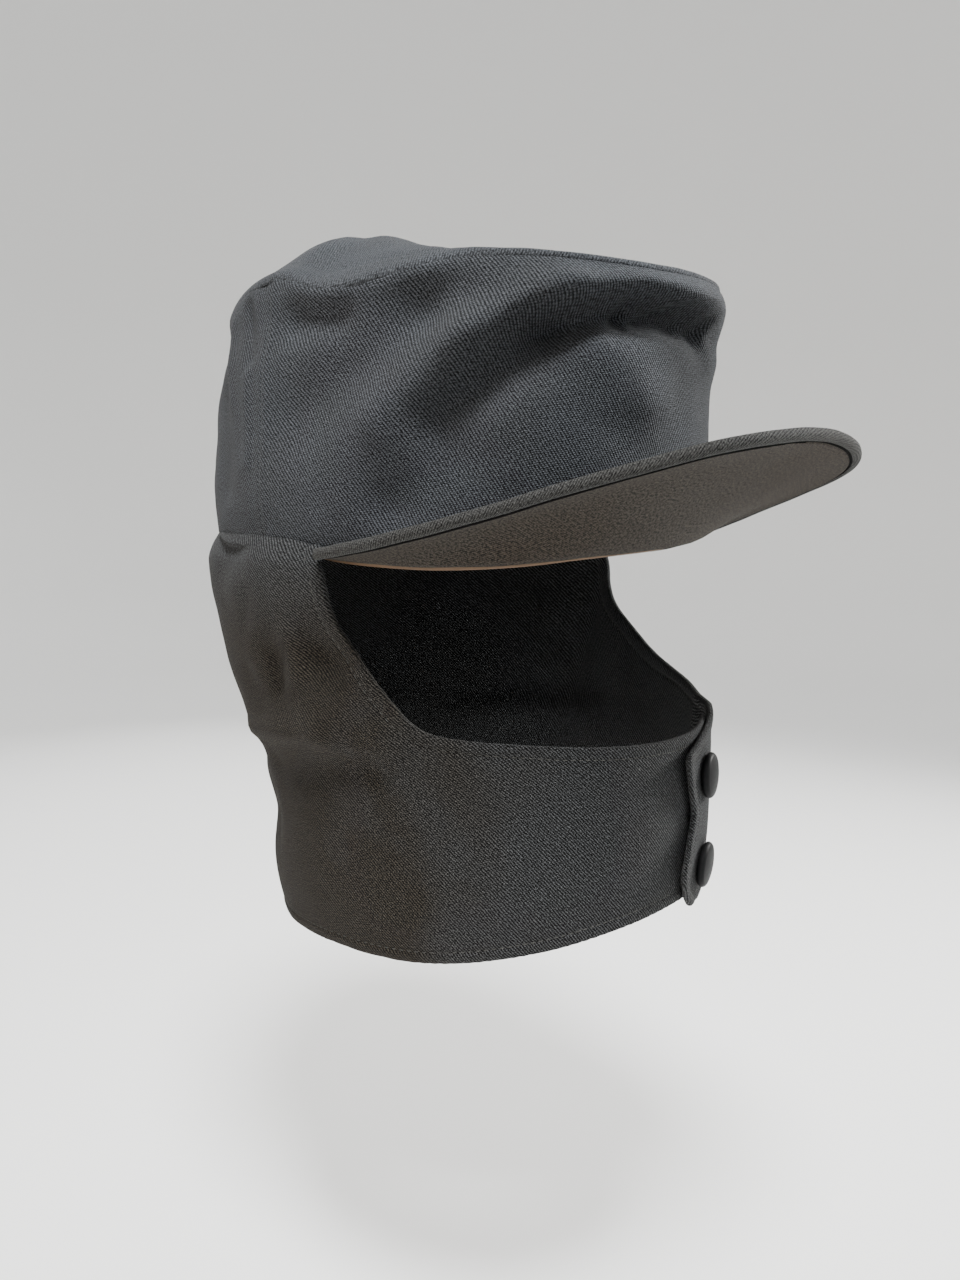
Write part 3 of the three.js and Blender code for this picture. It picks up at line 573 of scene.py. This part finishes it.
def crownTop():
    inwards = 1 - (1 - np.linspace(0, 1, top["rings"])) ** top["crowding"]
    angle, inward = np.meshgrid(np.linspace(-180, 180, top["round"], endpoint=False), inwards)
    outer, inner = topPoint(angle, inward, 0), topPoint(angle, inward, crown["topDrop"])
    uv = outer[..., [1, 0]] * [-1, 1]
    outwards = unit(uv[0] - uv[1])
    fall, level = runOf(outer[:top["turnRings"]]), runOf(uv[:top["turnRings"]])
    for k in range(top["turnRings"]):  # the weave keeps its pitch where the cloth turns down at the seam
        uv[k] = uv[k] + outwards * ((fall[-1] - fall[k]) - (level[-1] - level[k]))
    low = roundEdge(inner[0], outer[0], inner[1])
    rows = [*outer[::-1], *low[::-1], *inner]
    beyond = [uv[0] + outwards * top["edgeWeave"] * k for k in (1, 2, 3)]
    marks = [*uv[::-1], *beyond, *(uv + outwards * top["edgeWeave"] * 4)]
    faces = gridFaces(len(rows), top["round"])
    return addMesh("crownTop", np.stack(rows), faces, [topTwill], np.stack(marks))


crownTopPiece = crownTop()
print("crown top made")

band = {
    "round": 260, "up": 22, "wall": 1, "height": 34, "show": 0.7, "lean": 2.2, "leanAt": (0.1, 0.6),
    "tuck": 1.8, "tuckStart": (-4, 24), "tuckEnd": (100, 150),  # where it draws up out of sight
    "wave": 0.25, "waveSize": 18, "waveAt": (0.1, 0.5), "lipIn": 0.9, "lipAt": (0.02, 0.14),
}


def sweatbandPiece():
    up, angle = np.meshgrid(np.linspace(1, 0, band["up"]),
        np.linspace(-180, 180, band["round"], endpoint=False), indexing="ij")
    tucked = ease(*band["tuckStart"], angle) * (1 - ease(*band["tuckEnd"], angle))
    low = seamHeight(angle) - crown["gap"] - peak["sewn"] - band["show"] * (1 - band["tuck"] * tucked)
    height = low + band["height"] * up
    lean = band["lean"] * ease(*band["leanAt"], up)

    def face(depth):
        x, y, outX, outY = onSection(crownRows, angle, height)
        wave = rumple(x, y, height, band["waveSize"], 2.2) + 0.5
        inwards = crown["cloth"] + crown["gap"] + lean + depth
        inwards = inwards + band["wave"] * wave * ease(*band["waveAt"], up)
        inwards = inwards + band["lipIn"] * (1 - ease(*band["lipAt"], up))
        return placed(x - outX * inwards, y - outY * inwards, height)
    uv = np.stack([angle * perDegree, height], -1)
    return clothWall("sweatbandLeather", face(0), face(band["wall"]), uv, tanLeather, closed=True)


peak = {
    "end": 80.6, "sewn": 3, "thick": 3.6, "margin": 2.4, "sewnGap": 0.35, "halfThick": 1.7, "stations": 260,
    "roll": 1.9, "rollFade": (0.5, 5.5), "rollSteps": 15,
    "groove": 3.7, "grooveDeep": 0.85, "grooveWide": 0.6, "grooveBefore": 1, "grooveAfter": 2,
    "rimRows": 5, "grooveRows": 13, "innerRows": 27, "lastRow": 0.985,
    "slopeStep": 0.4, "uneven": 0.25, "unevenSize": 16,
    "gape": 7, "gapeLoss": 6, "gapeFade": (-26, -6),  # rows of painted shade in the seam's groove, more of them on the near side
}


def peakFrame(angle):  # the sewn edge, the way to the rim and how far it is, the seam's height, the rise
    seam = seamHeight(angle) - crown["gap"]
    x, y, outX, outY = onSection(crownRows, angle, seam)
    sewn = crown["cloth"] + crown["gap"] - peak["sewnGap"]
    t = np.abs(angle)
    x, y = x - outX * sewn, y - outY * sewn
    toX, toY = np.sign(angle) * curve(peakRows, "side", t) - x, -curve(peakRows, "ahead", t) - y
    wide = np.hypot(toX, toY)
    return x, y, toX / wide, toY / wide, wide, seam, curve(peakRows, "height", t) - seam


def peakSection(angle, fromRim):  # middle line, slope and half thickness, fromRim inside the roll
    *_, wide, seam, rise = peakFrame(angle)
    reach = wide - peak["roll"]
    far = reach - fromRim

    def middle(far):
        climb = np.maximum(far - peak["margin"], 0) / (wide - peak["margin"])
        half = (peak["sewn"] + (peak["thick"] - peak["sewn"]) * ease(0.5, 1, far / reach)) / 2
        return seam + rise * (climb + curve(peakArch, "lift", far / reach)) - half
    ahead = np.minimum(far + peak["slopeStep"], reach)
    behind = np.maximum(far - peak["slopeStep"], 0)
    tilt = np.arctan2(middle(ahead) - middle(behind), ahead - behind)
    thicker = (peak["roll"] - peak["halfThick"]) * (1 - ease(*peak["rollFade"], fromRim))
    half = peak["halfThick"] + thicker
    stitched = peak["groove"] - peak["roll"]
    half = half - peak["grooveDeep"] * bump(stitched, peak["grooveWide"], fromRim)
    return far, middle(far), tilt, half


def peakPiece():
    count = peak["stations"]
    angles = np.linspace(-peak["end"], peak["end"], count)[:, None]
    inX, inY, aheadX, aheadY, wide, _, _ = peakFrame(angles)
    stitched = peak["groove"] - peak["roll"]
    before, after = stitched - peak["grooveBefore"], stitched + peak["grooveAfter"]
    near = np.concatenate([np.linspace(0, before, peak["rimRows"])[:-1],
        np.linspace(before, after, peak["grooveRows"])])
    groove = int(np.argmin(np.abs(near - stitched)))
    share = np.append(np.linspace(0, 1, peak["innerRows"])[1:-1], (peak["lastRow"], 1))
    inner = near[-1] + (wide - peak["roll"] - near[-1]) * share
    fromRim = np.concatenate([near + 0 * wide, inner], 1)[:, ::-1]
    across = fromRim.shape[1]
    far, z, tilt, half = peakSection(angles, fromRim)

    def at(far, z):
        return placed(inX + aheadX * far, inY + aheadY * far, z)
    flesh = rumple(inX + aheadX * far, inY + aheadY * far, z, peak["unevenSize"], 4.4)
    flesh = flesh * peak["uneven"]
    upper = at(far - np.sin(tilt) * half, z + np.cos(tilt) * half + flesh)
    lower = at(far + np.sin(tilt) * half, z - np.cos(tilt) * half + flesh)
    turned = tilt[:, -1:] + np.radians(np.linspace(90, -90, peak["rollSteps"]))[1:-1]
    roll = peak["roll"]
    rim = at(far[:, -1:] + roll * np.cos(turned), z[:, -1:] + roll * np.sin(turned) + flesh[:, -1:])
    sewn = at(far[:, :1] * 0, z[:, :1] + flesh[:, :1])
    rows = np.concatenate([sewn, upper, rim, lower[:, ::-1]], 1)
    around = rows.shape[1]
    under = 1 + across + rim.shape[1] + groove
    girth = np.cumsum(np.linalg.norm(np.diff(rows, axis=1, prepend=rows[:, :1]), axis=-1), 1)
    uv = rows[..., :2].copy()
    past = (girth - girth[:, across:across + 1])[:, across:under + 1]
    uv[:, across:under + 1] = uv[:, across:across + 1] + np.stack([aheadX * past, aheadY * past], -1)
    faces = gridFaces(count, around)
    j = np.broadcast_to(np.arange(around), (count - 1, around))
    spots = (j > under).astype(int)  # 0 is the cover, 1 the lining, 2 painted shade in the groove and beside the sweatband
    # painted shade along the groove under the roll, wider on the near side
    gape = peak["gape"] - peak["gapeLoss"] * ease(*peak["gapeFade"], angles[:-1])
    spots[(j > under - 3) & (j < under + 1 + gape)] = 2
    spots[j > around - 3] = 2  # in the shade beside the sweatband
    # painted shade along the groove on the upper side
    spots[np.abs(j - across + groove) < 2] = 2
    caps = []
    for end in (0, count - 1):  # the two tips are closed across
        for a in range(around // 2 - 1):
            quad = [end * around + v for v in (a, a + 1, around - 2 - a, around - 1 - a)]
            caps.append(quad if end else quad[::-1])
    faces = np.concatenate([faces, np.array(caps)])
    spots = np.concatenate([spots.ravel(), np.zeros(len(caps), int)])
    return addMesh("peakCloth", rows, faces, [peakTwill, peakLining, seamShade], uv, spots)


peakCloth = peakPiece()
sweatbandCloth = sweatbandPiece()
print("peak and sweatband made")


flap = {
    "cloth": 2, "step": 1.45, "rows": 96, "crowding": 0.6, "right": 185, "back": 150, "left": 90,
    "foldTop": (8, 0),
    "calmLeft": 0.6, "leftFrom": (60, 90), "leftTo": (140, 176),  # the wearer's left side lies flatter
    "calmChin": 0.75, "chinBelow": (-72, -78), "chinTo": (70, 100),  # and so does the chin band
    "swell": 0.6, "swellSize": 24, "rumple": 0.2, "rumpleSize": 9,
    "hemThick": 0.3, "hemAt": 0.42, "hemSoft": 0.45, "stitchDeep": 0.35, "stitchWide": 0.75, "lineStep": 1.2,
    "borderInset": 4.4, "chinInset": 3, "insetChange": (56, 74), "hemInset": 3.2,
    "innerEnd": 24, "overlap": 40, "overlapEnd": 80,  # angles of the inner tongue's end and the lap's hem
}
lap = {
    "start": 36, "foot": -90, "columns": 42, "lift": 2.6, "clear": 27,
    "drop": 4.2, "dropAt": (-4, 16), "sag": 4, "endInset": 3.4,
    "flare": 1.8, "flareAt": (-5, 9), "endCurl": 1.4, "curlAt": (-4, 2),
}
flapSmallFolds = [
    (-84, -40, -83, -44, 7, -1.7), (-96, -46, -97, -54, 4, -1.7), (-90, -36, -90, -50, 4, 1.3),
    (-101, -24, -103, -34, 4, -0.8),
]
flapCreases = [
    {"angle": [-126, -119, -112, -106, -99], "height": [-3.2, -4.6, -6.6, -7, -6.2],
        "depth": [0, 0.8, 1, 0.5, 0], "form": (0.9, -1.7, 2.6, 5, 0.9, 0)},
    {"angle": [-134, -122, -112, -100, -90, -80, -70], "height": [-83, -80, -77.5, -75.6, -75, -75, -74],
        "depth": [0, 0.9, 1, 0.9, 0.6, 0.3, 0], "form": (1, -0.7, 8, 7, 2.6, 0)},
    {"angle": [70, 82, 96, 112, 128, 140], "height": [-76, -78, -80, -82, -85, -87],
        "depth": [0, 0.5, 0.9, 1, 0.7, 0], "form": (0.5, -0.3, 9, 8, 3.4, 0)},
]


def flapPoint(angle, height, depth, lift=0):
    x, y, outX, outY = onSection(flapRows, angle, height)
    calm = fadeAt(seamHeight(angle) - crown["gap"], flap["foldTop"], height)
    left = ease(*flap["leftFrom"], wrap(angle)) * (1 - ease(*flap["leftTo"], wrap(angle)))
    move = foldDepth(flapFolds + flapSmallFolds, angle, height) * calm * (1 - flap["calmLeft"] * left)
    for line in flapCreases:
        move = move + crease(line, angle, height)
    chin = ease(*flap["chinBelow"], height) * (1 - ease(*flap["chinTo"], np.abs(wrap(angle))))
    calm = calm * (1 - flap["calmChin"] * chin)
    move = move + uneven(flap, x, y, height, (1.9, 6.1), calm, calm) - depth + lift
    return placed(x + outX * move, y + outY * move, height)


def hemHeight(angle):
    return curve(hemRows, "height", np.abs(wrap(angle)))


def bandTop(angle):  # the last rows of the left border lie along the chin
    line = {key: leftEdgeRows[key][-7:][::-1] for key in ("angle", "height")}
    return curve(line, "height", angle)


def tongueLift(angle):
    lift = lap["lift"] * (1 - ease(lap["clear"], lap["start"], angle))
    lift = lift + lap["flare"] * (1 - ease(*lap["flareAt"], angle))
    return lift + lap["endCurl"] * (1 - ease(*lap["curlAt"], angle))


def tongueLine(part, down):  # angle and height of a place on the outer tongue
    def across(height):
        return lap["start"] + (curve(tongueRows, "angle", height) - lap["start"]) * part
    nominal = across(np.full_like(part, lap["foot"]))
    high = bandTop(nominal) - lap["drop"] * (1 - ease(*lap["dropAt"], nominal))
    low = hemHeight(nominal) - lap["sag"] * part * part
    height = high + (low - high) * down
    return across(height), height


def borderLine(side, along):  # angle and height of the flap's upper border, and the angle of the hem below
    rows = edgeRows if side < 0 else leftEdgeRows
    back = np.clip(-along / flap["back"], 0, 1)
    angle = curve(rows, "angle", along)
    foot = curve(rows, "foot", along)
    angle = side * (angle + (180 - rows["angle"][0]) * back)
    foot = side * (foot + (180 - rows["foot"][0]) * back)
    height = np.where(along < 0, seamHeight(angle) - crown["gap"], curve(rows, "height", along))
    return angle, height, foot


def fromBorder(angle, height, line):  # distance to the nearest place of a border, and the inset there
    best, inset = np.full(angle.shape, 1e9), 0 * angle
    for lineAngle, lineHeight, lineInset in line:
        away = np.hypot((angle - lineAngle) * perDegree, height - lineHeight)
        inset = np.where(away < best, lineInset, inset)
        best = np.minimum(away, best)
    return best, inset


def resample(line, step):  # even steps along a line of (angle, height, inset)
    line = np.array(line, float)
    run = np.hypot(np.diff(line[:, 0]) * perDegree, np.diff(line[:, 1]))
    run = np.concatenate([[0], np.cumsum(run)])
    at = np.linspace(0, run[-1], int(run[-1] / step) + 1)
    return np.stack([np.interp(at, run, line[:, i]) for i in range(3)], 1)


def borderOf(side, last):
    along = np.linspace(0, last, 200)
    angle, height, _ = borderLine(side, along)
    change = (flap["borderInset"] - flap["chinInset"]) * ease(*flap["insetChange"], along)
    return np.stack([angle, height, flap["borderInset"] - change], 1)


def hemOf(first, last):
    angle = np.linspace(first, last, 300)
    return np.stack([angle, hemHeight(angle), np.full(300, flap["hemInset"])], 1)


def tongueEdge(part, down, inset):
    return np.stack([*tongueLine(part, down), np.full(len(part), inset)], 1)


even, whole, none = np.linspace(0, 1, 60), np.ones(60), np.zeros(60)
tongueTop = tongueEdge(even, none, flap["chinInset"])
tongueEnd = tongueEdge(whole, even, lap["endInset"])
tongueLow = tongueEdge(even[::-1], whole, flap["hemInset"])
rightBorder, leftBorder = borderOf(-1, flap["right"]), borderOf(1, flap["left"])
endHeights = np.linspace(rightBorder[-1, 1], float(hemHeight(flap["innerEnd"])), 40)
innerEnd = np.stack([np.full(40, flap["innerEnd"]), endHeights, np.full(40, flap["chinInset"])], 1)
mainBorder = [rightBorder, innerEnd, hemOf(flap["innerEnd"], -180), hemOf(180, flap["overlap"]), leftBorder]
tongueHem = hemOf(flap["overlap"], flap["overlapEnd"])
tongueBorder = [leftBorder[100:], tongueTop, tongueEnd, tongueLow, tongueHem]
mainLine = np.concatenate([resample(line, flap["lineStep"]) for line in mainBorder])
tongueLinePlaces = np.concatenate([resample(line, flap["lineStep"]) for line in tongueBorder])


def hemShape(distance, inset):  # a folded hem: thick at the edge, pulled in along its stitches
    thick = flap["hemThick"] * bump(inset * flap["hemAt"], inset * flap["hemSoft"], distance)
    return thick - flap["stitchDeep"] * bump(inset, flap["stitchWide"], distance)


def flapColumns():
    t = np.linspace(0, 1, flap["rows"])
    down = (t - flap["crowding"] * np.sin(2 * pi * t) / (2 * pi))[:, None]  # close at both edges
    groups = []
    for side, first, last in ((-1, flap["right"], -flap["back"]), (1, -flap["back"], flap["left"])):
        along = np.linspace(first, last, int(abs(last - first) / flap["step"]))
        if side > 0:
            along = along[1:]
        head, height, foot = borderLine(side, along)
        angle, height = head + (foot - head) * down, height + (hemHeight(foot) - height) * down
        groups.append((angle, height, 0 * head, mainLine))
    angle, height = tongueLine(np.linspace(0, 1, lap["columns"])[None] + 0 * down, down)
    groups.append((angle, height, tongueLift(angle), tongueLinePlaces))
    return groups


def flapPiece():
    outer, inner, marks = [], [], []
    for angle, height, lift, line in flapColumns():
        distance, inset = fromBorder(angle, height, line)
        hem = hemShape(distance, inset)
        outer.append(flapPoint(angle, height, -hem, lift))
        inner.append(flapPoint(angle, height, flap["cloth"] + hem, lift))
        marks.append(np.stack([angle * perDegree, height], -1))
    outer, inner, marks = (np.concatenate(rows, 1) for rows in (outer, inner, marks))
    return clothWall("earFlap", outer, inner, marks, flapTwill)


earFlap = flapPiece()
print("flap made")

stitch = {"pitch": 2.7, "long": 2, "wide": 0.42, "high": 0.26, "sunk": 0.08, "lineStep": 0.6}
peakStitch = {"pitch": 3, "long": 2.1, "proud": 0.03, "margin": 1.5, "samples": 900}


def stitchLine(line, inset, skip=0.0):  # a row of places, inset from a border towards the cloth
    places = resample(line, stitch["lineStep"])
    x, z = places[:, 0] * perDegree, places[:, 1]
    dx, dz = np.gradient(x), np.gradient(z)
    size = np.hypot(dx, dz)
    inset = places[:, 2] * inset
    x, z = x + dz / size * inset, z - dx / size * inset
    row = np.stack([x / perDegree, z, places[:, 2]], 1)
    return resample(row[int(skip / stitch["lineStep"]):], stitch["pitch"])


def oneStitch():
    clearSelection()
    bpy.ops.mesh.primitive_uv_sphere_add(segments=8, ring_count=5, radius=0.5)
    shape = bpy.context.object
    bpy.ops.object.mode_set(mode="EDIT")
    bpy.ops.mesh.select_all(action="SELECT")
    bpy.ops.transform.resize(value=(stitch["long"] * mm, stitch["wide"] * mm, stitch["high"] * mm))
    bpy.ops.object.mode_set(mode="OBJECT")
    places = np.array([v.co[:] for v in shape.data.vertices])
    faces = [tuple(p.vertices) for p in shape.data.polygons]
    bpy.data.objects.remove(shape)
    return places, faces


def sewRow(name, rows, material):  # rows of (place, next place, outward direction), one dash at each
    shape, shapeFaces = oneStitch()
    places, faces = [], []
    for start, finish, outward in rows:
        ahead = unit(finish - start)
        aside = unit(np.cross(outward, ahead))
        above = np.cross(ahead, aside)
        for middle, a, b, c in zip((start + finish) / 2 * mm, ahead, aside, above):
            faces.extend(tuple(len(places) * len(shape) + v for v in face) for face in shapeFaces)
            places.append(middle + shape[:, :1] * a + shape[:, 1:2] * b + shape[:, 2:] * c)
    return linked(name, smoothed(newMesh(name, np.concatenate(places), faces, [material])))


def flapSeam(line, lifted, inside):
    angle, height = line[:, 0], line[:, 1]
    half = stitch["long"] / stitch["pitch"] / 2
    turn = np.stack([np.gradient(angle), np.gradient(height)], 1)
    ends = []
    for sign in (-1, 1):
        a, h = angle + turn[:, 0] * half * sign, height + turn[:, 1] * half * sign
        lift = tongueLift(a) if lifted else 0
        depth = flap["stitchDeep"] - stitch["sunk"]
        if inside:
            depth = flap["cloth"] - depth
        ends.append(flapPoint(a, h, depth, lift))
    _, _, outX, outY = onSection(flapRows, angle, height)
    outward = placed(outX, outY, 0 * outX) * (-1 if inside else 1)
    return ends[0], ends[1], outward


flapLines = [
    (stitchLine(rightBorder, 1, skip=2), False), (stitchLine(hemOf(flap["innerEnd"], -180), 1), False),
    (stitchLine(hemOf(180, flap["overlap"]), 1), False), (stitchLine(leftBorder, -1, skip=2), False),
    (stitchLine(tongueTop, -1), True), (stitchLine(tongueEnd, -1, skip=3)[:-1], True),
    (stitchLine(tongueLow, -1, skip=3), True),
]
flapSeams = [flapSeam(line, lifted, inside) for line, lifted in flapLines for inside in (False, True)]
flapStitches = sewRow("flapStitches", flapSeams, greyThread)
print("flap stitches made")


def peakSeam():
    last = peak["end"] - peakStitch["margin"]
    angles = np.linspace(-last, last, peakStitch["samples"])[:, None]
    inX, inY, aheadX, aheadY, _, _, _ = peakFrame(angles)
    far, z, tilt, half = peakSection(angles, peak["groove"] - peak["roll"] + 0 * angles)
    rows = []
    for over in (1, -1):
        deep = (half + peakStitch["proud"]) * over
        out = far - np.sin(tilt) * deep
        line = placed(inX + aheadX * out, inY + aheadY * out, z + np.cos(tilt) * deep)
        run, line = runOf(line), line[:, 0]
        at = np.arange(0, run[-1] - peakStitch["pitch"], peakStitch["pitch"])
        start, finish = (np.stack([np.interp(at + more, run, line[:, i]) for i in range(3)], 1)
            for more in (0, peakStitch["long"]))
        rows.append((start, finish, np.tile([0.0, 0.0, float(over)], (len(at), 1))))
    return rows


peakStitches = sewRow("peakStitches", peakSeam(), darkThread)
print("peak stitches made")

button = {
    "wide": 16.4, "thick": 3.9, "angle": 9.6, "sides": 40, "backRings": (1, 3), "heights": (-85, -117),
    "out": [0.84, 0.97, 1, 0.95, 0.86, 0.80, 0.76, 0.55, 0.3, 0.1],
    "up": [0, 0.18, 0.4, 0.62, 0.75, 0.77, 0.8, 0.9, 0.96, 0.98],
}


def selectFaces(piece, sign):  # the flat faces that point up (1) or down (-1)
    bpy.ops.mesh.select_all(action="DESELECT")
    shape = bmesh.from_edit_mesh(piece.data)
    for face in shape.faces:
        face.select_set(face.normal.z * sign > 0.9)
    bmesh.update_edit_mesh(piece.data)


def onTongue(angle, height):  # a place just off the outer tongue
    return Vector(flapPoint(angle, height, -crown["gap"], float(tongueLift(angle))).tolist())


def buttonPiece(name, height):
    clearSelection()
    out = [share * button["wide"] / 2 * mm for share in button["out"]]
    up = [share * button["thick"] * mm for share in button["up"]]
    bpy.ops.mesh.primitive_cylinder_add(vertices=button["sides"], radius=out[0], depth=up[1],
        location=(0, 0, up[1] / 2), end_fill_type="NGON")
    piece = bpy.context.object
    piece.name = name
    bpy.ops.object.transform_apply(location=True, rotation=False, scale=False)
    bpy.ops.object.mode_set(mode="EDIT")
    bpy.ops.mesh.select_mode(type="FACE")
    selectFaces(piece, 1)
    bpy.ops.transform.resize(value=(out[1] / out[0], out[1] / out[0], 1))
    for k in range(2, len(out)):  # the face is drawn up ring by ring into a low dome inside a rim
        bpy.ops.mesh.extrude_region_move(TRANSFORM_OT_translate={"value": (0, 0, up[k] - up[k - 1])})
        bpy.ops.transform.resize(value=(out[k] / out[k - 1], out[k] / out[k - 1], 1))
    selectFaces(piece, -1)
    for ring in button["backRings"]:
        bpy.ops.mesh.inset(thickness=ring * mm)
    bpy.ops.object.mode_set(mode="OBJECT")
    smooth = piece.modifiers.new("smooth", "SUBSURF")
    smooth.levels = smooth.render_levels = 2
    bpy.ops.object.modifier_apply(modifier="smooth")
    bpy.ops.object.shade_smooth()
    piece.data.materials.append(hornPlastic)
    at = button["angle"]
    place = onTongue(at, height)
    aside, above = onTongue(at + 1, height) - place, onTongue(at, height + 1) - place
    turn = Vector((0, 0, 1)).rotation_difference(aside.cross(above).normalized())
    piece.data.transform(Matrix.Translation(place * mm) @ turn.to_matrix().to_4x4())
    return piece


buttonUpper = buttonPiece("buttonUpper", button["heights"][0])
buttonLower = buttonPiece("buttonLower", button["heights"][1])
print("buttons made")

for piece, node, slot in (
    (crownFront, "crown_front", "crown_twill"), (crownBack, "crown_back", "crown_twill"),
    (crownTopPiece, "crown_top", "crown_twill"), (sweatbandCloth, "sweatband", "tan_leather"),
    (peakCloth, "peak", "peak_twill"), (earFlap, "ear_flap", "flap_twill"),
    (buttonUpper, "button_upper", "button_plastic"), (buttonLower, "button_lower", "button_plastic"),
):
    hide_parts(node)
    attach(piece, "root")
for piece, slot in ((flapStitches, "flap_twill"), (peakStitches, "peak_twill")):
    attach(piece, "root")

room = {  # metres; the wall goes up in steps of (growth, rise)
    "floor": -0.32, "flat": 1.3, "round": 96, "color": (0.92, 0.92, 0.91), "daylight": 0.69,
    "wall": ((1.2, 0.04), (1.15, 0.14), (1.1, 0.28), (1.05, 0.45), (1.02, 1.7)),
}


def studioBowl():  # a round floor that sweeps up into a wall, open above
    clearSelection()
    bpy.ops.mesh.primitive_circle_add(vertices=room["round"], radius=room["flat"], fill_type="NGON",
        location=(0, 0, room["floor"]))
    bowl = bpy.context.object
    bowl.name = "studioFloor"
    bpy.ops.object.mode_set(mode="EDIT")
    bpy.ops.mesh.select_mode(type="EDGE")
    for grow, lift in room["wall"]:
        bpy.ops.mesh.select_all(action="DESELECT")
        shape = bmesh.from_edit_mesh(bowl.data)
        for edge in shape.edges:
            edge.select_set(edge.is_boundary)
        if not any(edge.is_boundary for edge in shape.edges):
            raise RuntimeError("the floor has no open edge")
        bmesh.update_edit_mesh(bowl.data)
        bpy.ops.mesh.extrude_edges_move()
        bpy.ops.transform.resize(value=(grow, grow, 1))
        bpy.ops.transform.translate(value=(0, 0, lift))
    bpy.ops.mesh.select_all(action="SELECT")
    bpy.ops.mesh.normals_make_consistent(inside=True)
    bpy.ops.object.mode_set(mode="OBJECT")
    bpy.ops.object.transform_apply(location=True, rotation=False, scale=False)
    bpy.ops.object.shade_smooth()
    material, _, shader = newMaterial("studioPaper", 0.95, 0.05)
    feed(shader.inputs["Base Color"], room["color"])
    bowl.data.materials.append(material)
    return bowl


studioBowl()

world = bpy.data.worlds.new("softDay")
world.use_nodes = True
world.node_tree.nodes["Background"].inputs["Color"].default_value = (1, 1, 1, 1)
world.node_tree.nodes["Background"].inputs["Strength"].default_value = room["daylight"]
bpy.context.scene.world = world


def softLight(name, place, size, power, color, spread):
    lamp = bpy.data.lights.new(name, "AREA")
    lamp.shape, lamp.size, lamp.energy, lamp.color = "DISK", size, power, color
    lamp.spread = radians(spread)
    holder = linked(name, lamp)
    holder.location = place
    holder.rotation_euler = (Vector((0, 0, -0.02)) - Vector(place)).to_track_quat("-Z", "Y").to_euler()


softLight("topLight", (-0.42, -0.45, 1.25), 0.4, 13, (0.97, 0.985, 1), 100)
softLight("frontLight", (1.2, -0.7, 0.45), 0.4, 12, (1, 0.99, 0.97), 100)
softLight("sideFill", (-1.1, 0.45, -0.2), 0.9, 1.8, (1, 0.66, 0.42), 120)
softLight("backFill", (0.6, 1.1, 0.4), 0.9, 5, (1, 1, 1), 120)

view = {  # the photograph's view, in millimetres, degrees and pixels
    "azimuth": -50, "pitch": 6.66, "roll": 0.45, "pivot": (0, 0, -61.8),
    "away": 378.8, "aside": -11, "above": -16.2, "farther": 1.03, "focal": 959, "frame": 1280,
}

azimuth, pitch, roll = (radians(view[key]) for key in ("azimuth", "pitch", "roll"))
away, aside, above = (view[key] * view["farther"] for key in ("away", "aside", "above"))
back = Vector((sin(azimuth) * cos(pitch), -cos(azimuth) * cos(pitch), sin(pitch)))
level = (-back).cross(Vector((0, 0, 1))).normalized()
right = level * cos(roll) + level.cross(-back) * sin(roll)
up = level.cross(-back) * cos(roll) - level * sin(roll)
data = bpy.data.cameras.new("photoCamera")
data.sensor_width, data.lens = 36, 36 * view["focal"] / view["frame"]
data.clip_start, data.clip_end = 0.01, 30
camera = linked("photoCamera", data)
place = Vector(view["pivot"]) + back * away - right * aside - up * above
camera.matrix_world = Matrix.Translation(place * mm) @ Matrix((right, up, back)).transposed().to_4x4()
bpy.context.scene.camera = camera

print("scene done")
